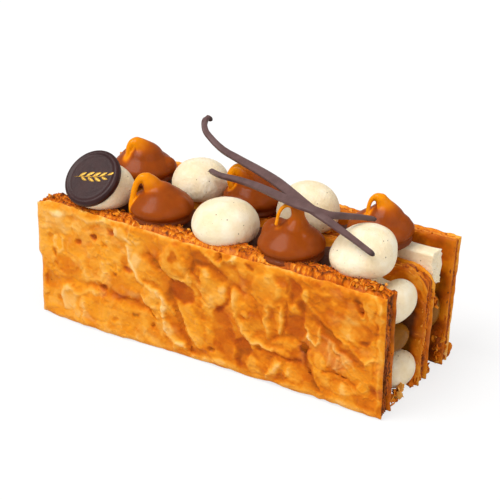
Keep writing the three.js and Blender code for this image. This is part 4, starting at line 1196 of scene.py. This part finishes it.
# Radius against height above the face, from the middle of the back round to the middle of the face.
DISC_PROFILE = [
    (0.01, -2.6), (8.5, -2.6), (8.95, -2.45), (9.2, -2.05), (9.28, -1.4), (9.22, -0.85), (8.98, -0.36),
    (8.6, -0.1), (8.15, -0.02), (7.8, -0.1), (7.5, -0.2), (6.5, -0.22), (0.01, -0.22),
]
r, h = through(DISC_PROFILE, np.linspace(0, 1, 110)).T
angle = np.linspace(0, 2 * np.pi, 145)[:-1]
disc = DISC_CENTRE + h[:, None, None] * DISC_FACING
disc = disc + (r[:, None] * np.cos(angle))[..., None] * disc_right
disc = disc + (r[:, None] * np.sin(angle))[..., None] * disc_up
add_piece("medallion", (*tube(disc), {}), "chocolate_medallion", medallion_chocolate)

# The sprig, across and up the face: a stem with pairs of leaves.
SPRIG_STEM = [(-5.9, -1.7), (-3.4, -0.9), (-0.8, -0.2), (1.8, 0.5), (4.0, 1.3), (5.4, 2.2)]
SPRIG_LEAVES = [  # share along the stem, lean from it in degrees, length and half width
    (0.16, 42, 2.7, 0.50), (0.22, -46, 2.6, 0.48), (0.36, 44, 3.1, 0.56), (0.42, -46, 3.0, 0.54),
    (0.56, 42, 3.1, 0.56), (0.62, -44, 3.0, 0.54), (0.76, 40, 2.8, 0.50), (0.82, -42, 2.6, 0.48),
    (0.99, 4, 2.6, 0.48),
]
SPRIG_HALF, SPRIG_RISE = 0.15, 0.12  # of the stem
FACE_DEPTH = 0.24  # of the sprig's middle below the top of the rim


def carried(points, outline, stations, sides, facing):
    """Carries an outline along a curve through the points. The outline gives, for the share along and
    the angle round, how far it stands out across the curve and towards the facing."""
    middle = through(points, np.linspace(0, 1, stations))
    along = np.gradient(middle, axis=0)
    along /= np.linalg.norm(along, axis=1, keepdims=True)
    side = np.cross(along, facing)
    side /= np.linalg.norm(side, axis=1, keepdims=True)
    up = np.cross(side, along)
    angle = np.linspace(0, 2 * np.pi, sides + 1)[:-1]
    out, rise = outline(*np.meshgrid(np.linspace(0, 1, stations), angle, indexing="ij"))
    grid = middle[:, None] + out[..., None] * side[:, None] + rise[..., None] * up[:, None]
    return tube(grid)


def on_face(places):
    """Places given across and up the face, as points of the slice."""
    across, up = np.asarray(places, float).T
    return DISC_CENTRE - FACE_DEPTH * DISC_FACING + across[:, None] * disc_right + up[:, None] * disc_up


def gold_stroke(line, half):
    """A flat oval carried along a line of the face. It is widest in the middle of the line."""
    def outline(t, angle):
        wide = half * (0.12 + 0.88 * np.sin(np.pi * np.clip(t, 0.01, 0.99)) ** 0.8)
        return wide * np.cos(angle), SPRIG_RISE * np.sin(angle)

    return carried(on_face(line), outline, 30, 10, DISC_FACING)


strokes = [gold_stroke(SPRIG_STEM, SPRIG_HALF)]
stem_x, stem_y = through(SPRIG_STEM, np.linspace(0, 1, 200)).T
for share, lean, length, half in SPRIG_LEAVES:
    k = int(share * 198)
    heading = math.atan2(stem_y[k + 1] - stem_y[k], stem_x[k + 1] - stem_x[k]) + math.radians(lean)
    t = np.linspace(0, 1, 6)
    bend = heading - math.radians(lean) * 0.35 * t
    leaf_x = stem_x[k] + length * t * np.cos(bend)
    leaf_y = stem_y[k] + length * t * np.sin(bend)
    strokes.append(gold_stroke(np.stack([leaf_x, leaf_y], 1), half))
gold, place, shader = start_finish("gold_powder", Metallic=0.55, Roughness=0.38)
plug(shader, grainy(place, 0.4).ramp((0.35, "A87A24"), (0.65, "DDB24C")), "Base Color")
add_piece("medallion_sprig", (*joined(strokes), {}), "chocolate_medallion", gold)

# ----------------------------------------------------------------------------------------------------
# Chocolate pods: two tapered strips of piped chocolate, crossed and set as one piece. They lie on the
# peaks of the kisses, and the long one curls up at its left end.

POD_THICKNESS = 1.4
POD_FACING = (0.42, 0.8, 0.42)
LONG_POD = (3.0, 0.6, [
    (41.4, 34.2, 61.2), (40.3, 33.2, 62.1), (40.7, 30.8, 61.4), (42.0, 29.4, 59.7), (44.6, 28.8, 57.8),
    (49.0, 27.4, 56.2), (56.4, 24.8, 55.6), (65.8, 20.6, 55.8), (75.8, 15.3, 56.2), (85.1, 9.3, 56.4),
    (92.4, 5.3, 56.1), (98.2, 4.4, 54.4), (105.6, 4.6, 51.1), (113.4, 5.0, 47.2),
])
SHORT_POD = (2.6, 0.6, [
    (45.9, 26.0, 48.9), (52.4, 21.6, 50.4), (60.7, 18.2, 52.2), (71.5, 13.2, 54.2), (81.9, 7.6, 55.8),
    (88.0, 5.4, 56.2), (93.7, 4.6, 56.1), (97.8, 6.0, 55.1), (100.8, 10.8, 53.6), (103.2, 16.1, 51.8),
    (104.6, 21.8, 49.4),
])


def pod(width, waist, points, stations):
    """A flat rounded strip that is widest at its waist, tapers to both ends and is rounded off there.
    Its thin side looks across the facing."""
    def outline(t, angle):
        taper = np.where(t < waist, 0.6 + 0.4 * smooth(t, 0, waist), 1 - 0.5 * smooth(t, waist, 1))
        near = np.minimum(np.minimum(t, 1 - t) / 0.02, 1)
        ends = np.sqrt(1 - (1 - near) ** 2)
        cos, sin = squared(angle, 0.4)
        return -0.5 * POD_THICKNESS * ends * sin, 0.5 * width * taper * ends * cos

    return carried(points, outline, stations, 40, POD_FACING)


points, faces = melt([pod(*LONG_POD, 260), pod(*SHORT_POD, 200)], 0.18, 3)
# Painted shade: the pods are darker towards their tips, whose cut ends face away from the light.
tips = np.array([line[end] for _, _, line in (LONG_POD, SHORT_POD) for end in (0, -1)])
away = np.linalg.norm(points[:, None] - tips[None], axis=2).min(1)
values = {"shade": 0.7 * (1 - smooth(away, 0.8, 2.4))}
add_piece("pods", (points, faces, values), "chocolate_pods", pod_chocolate)
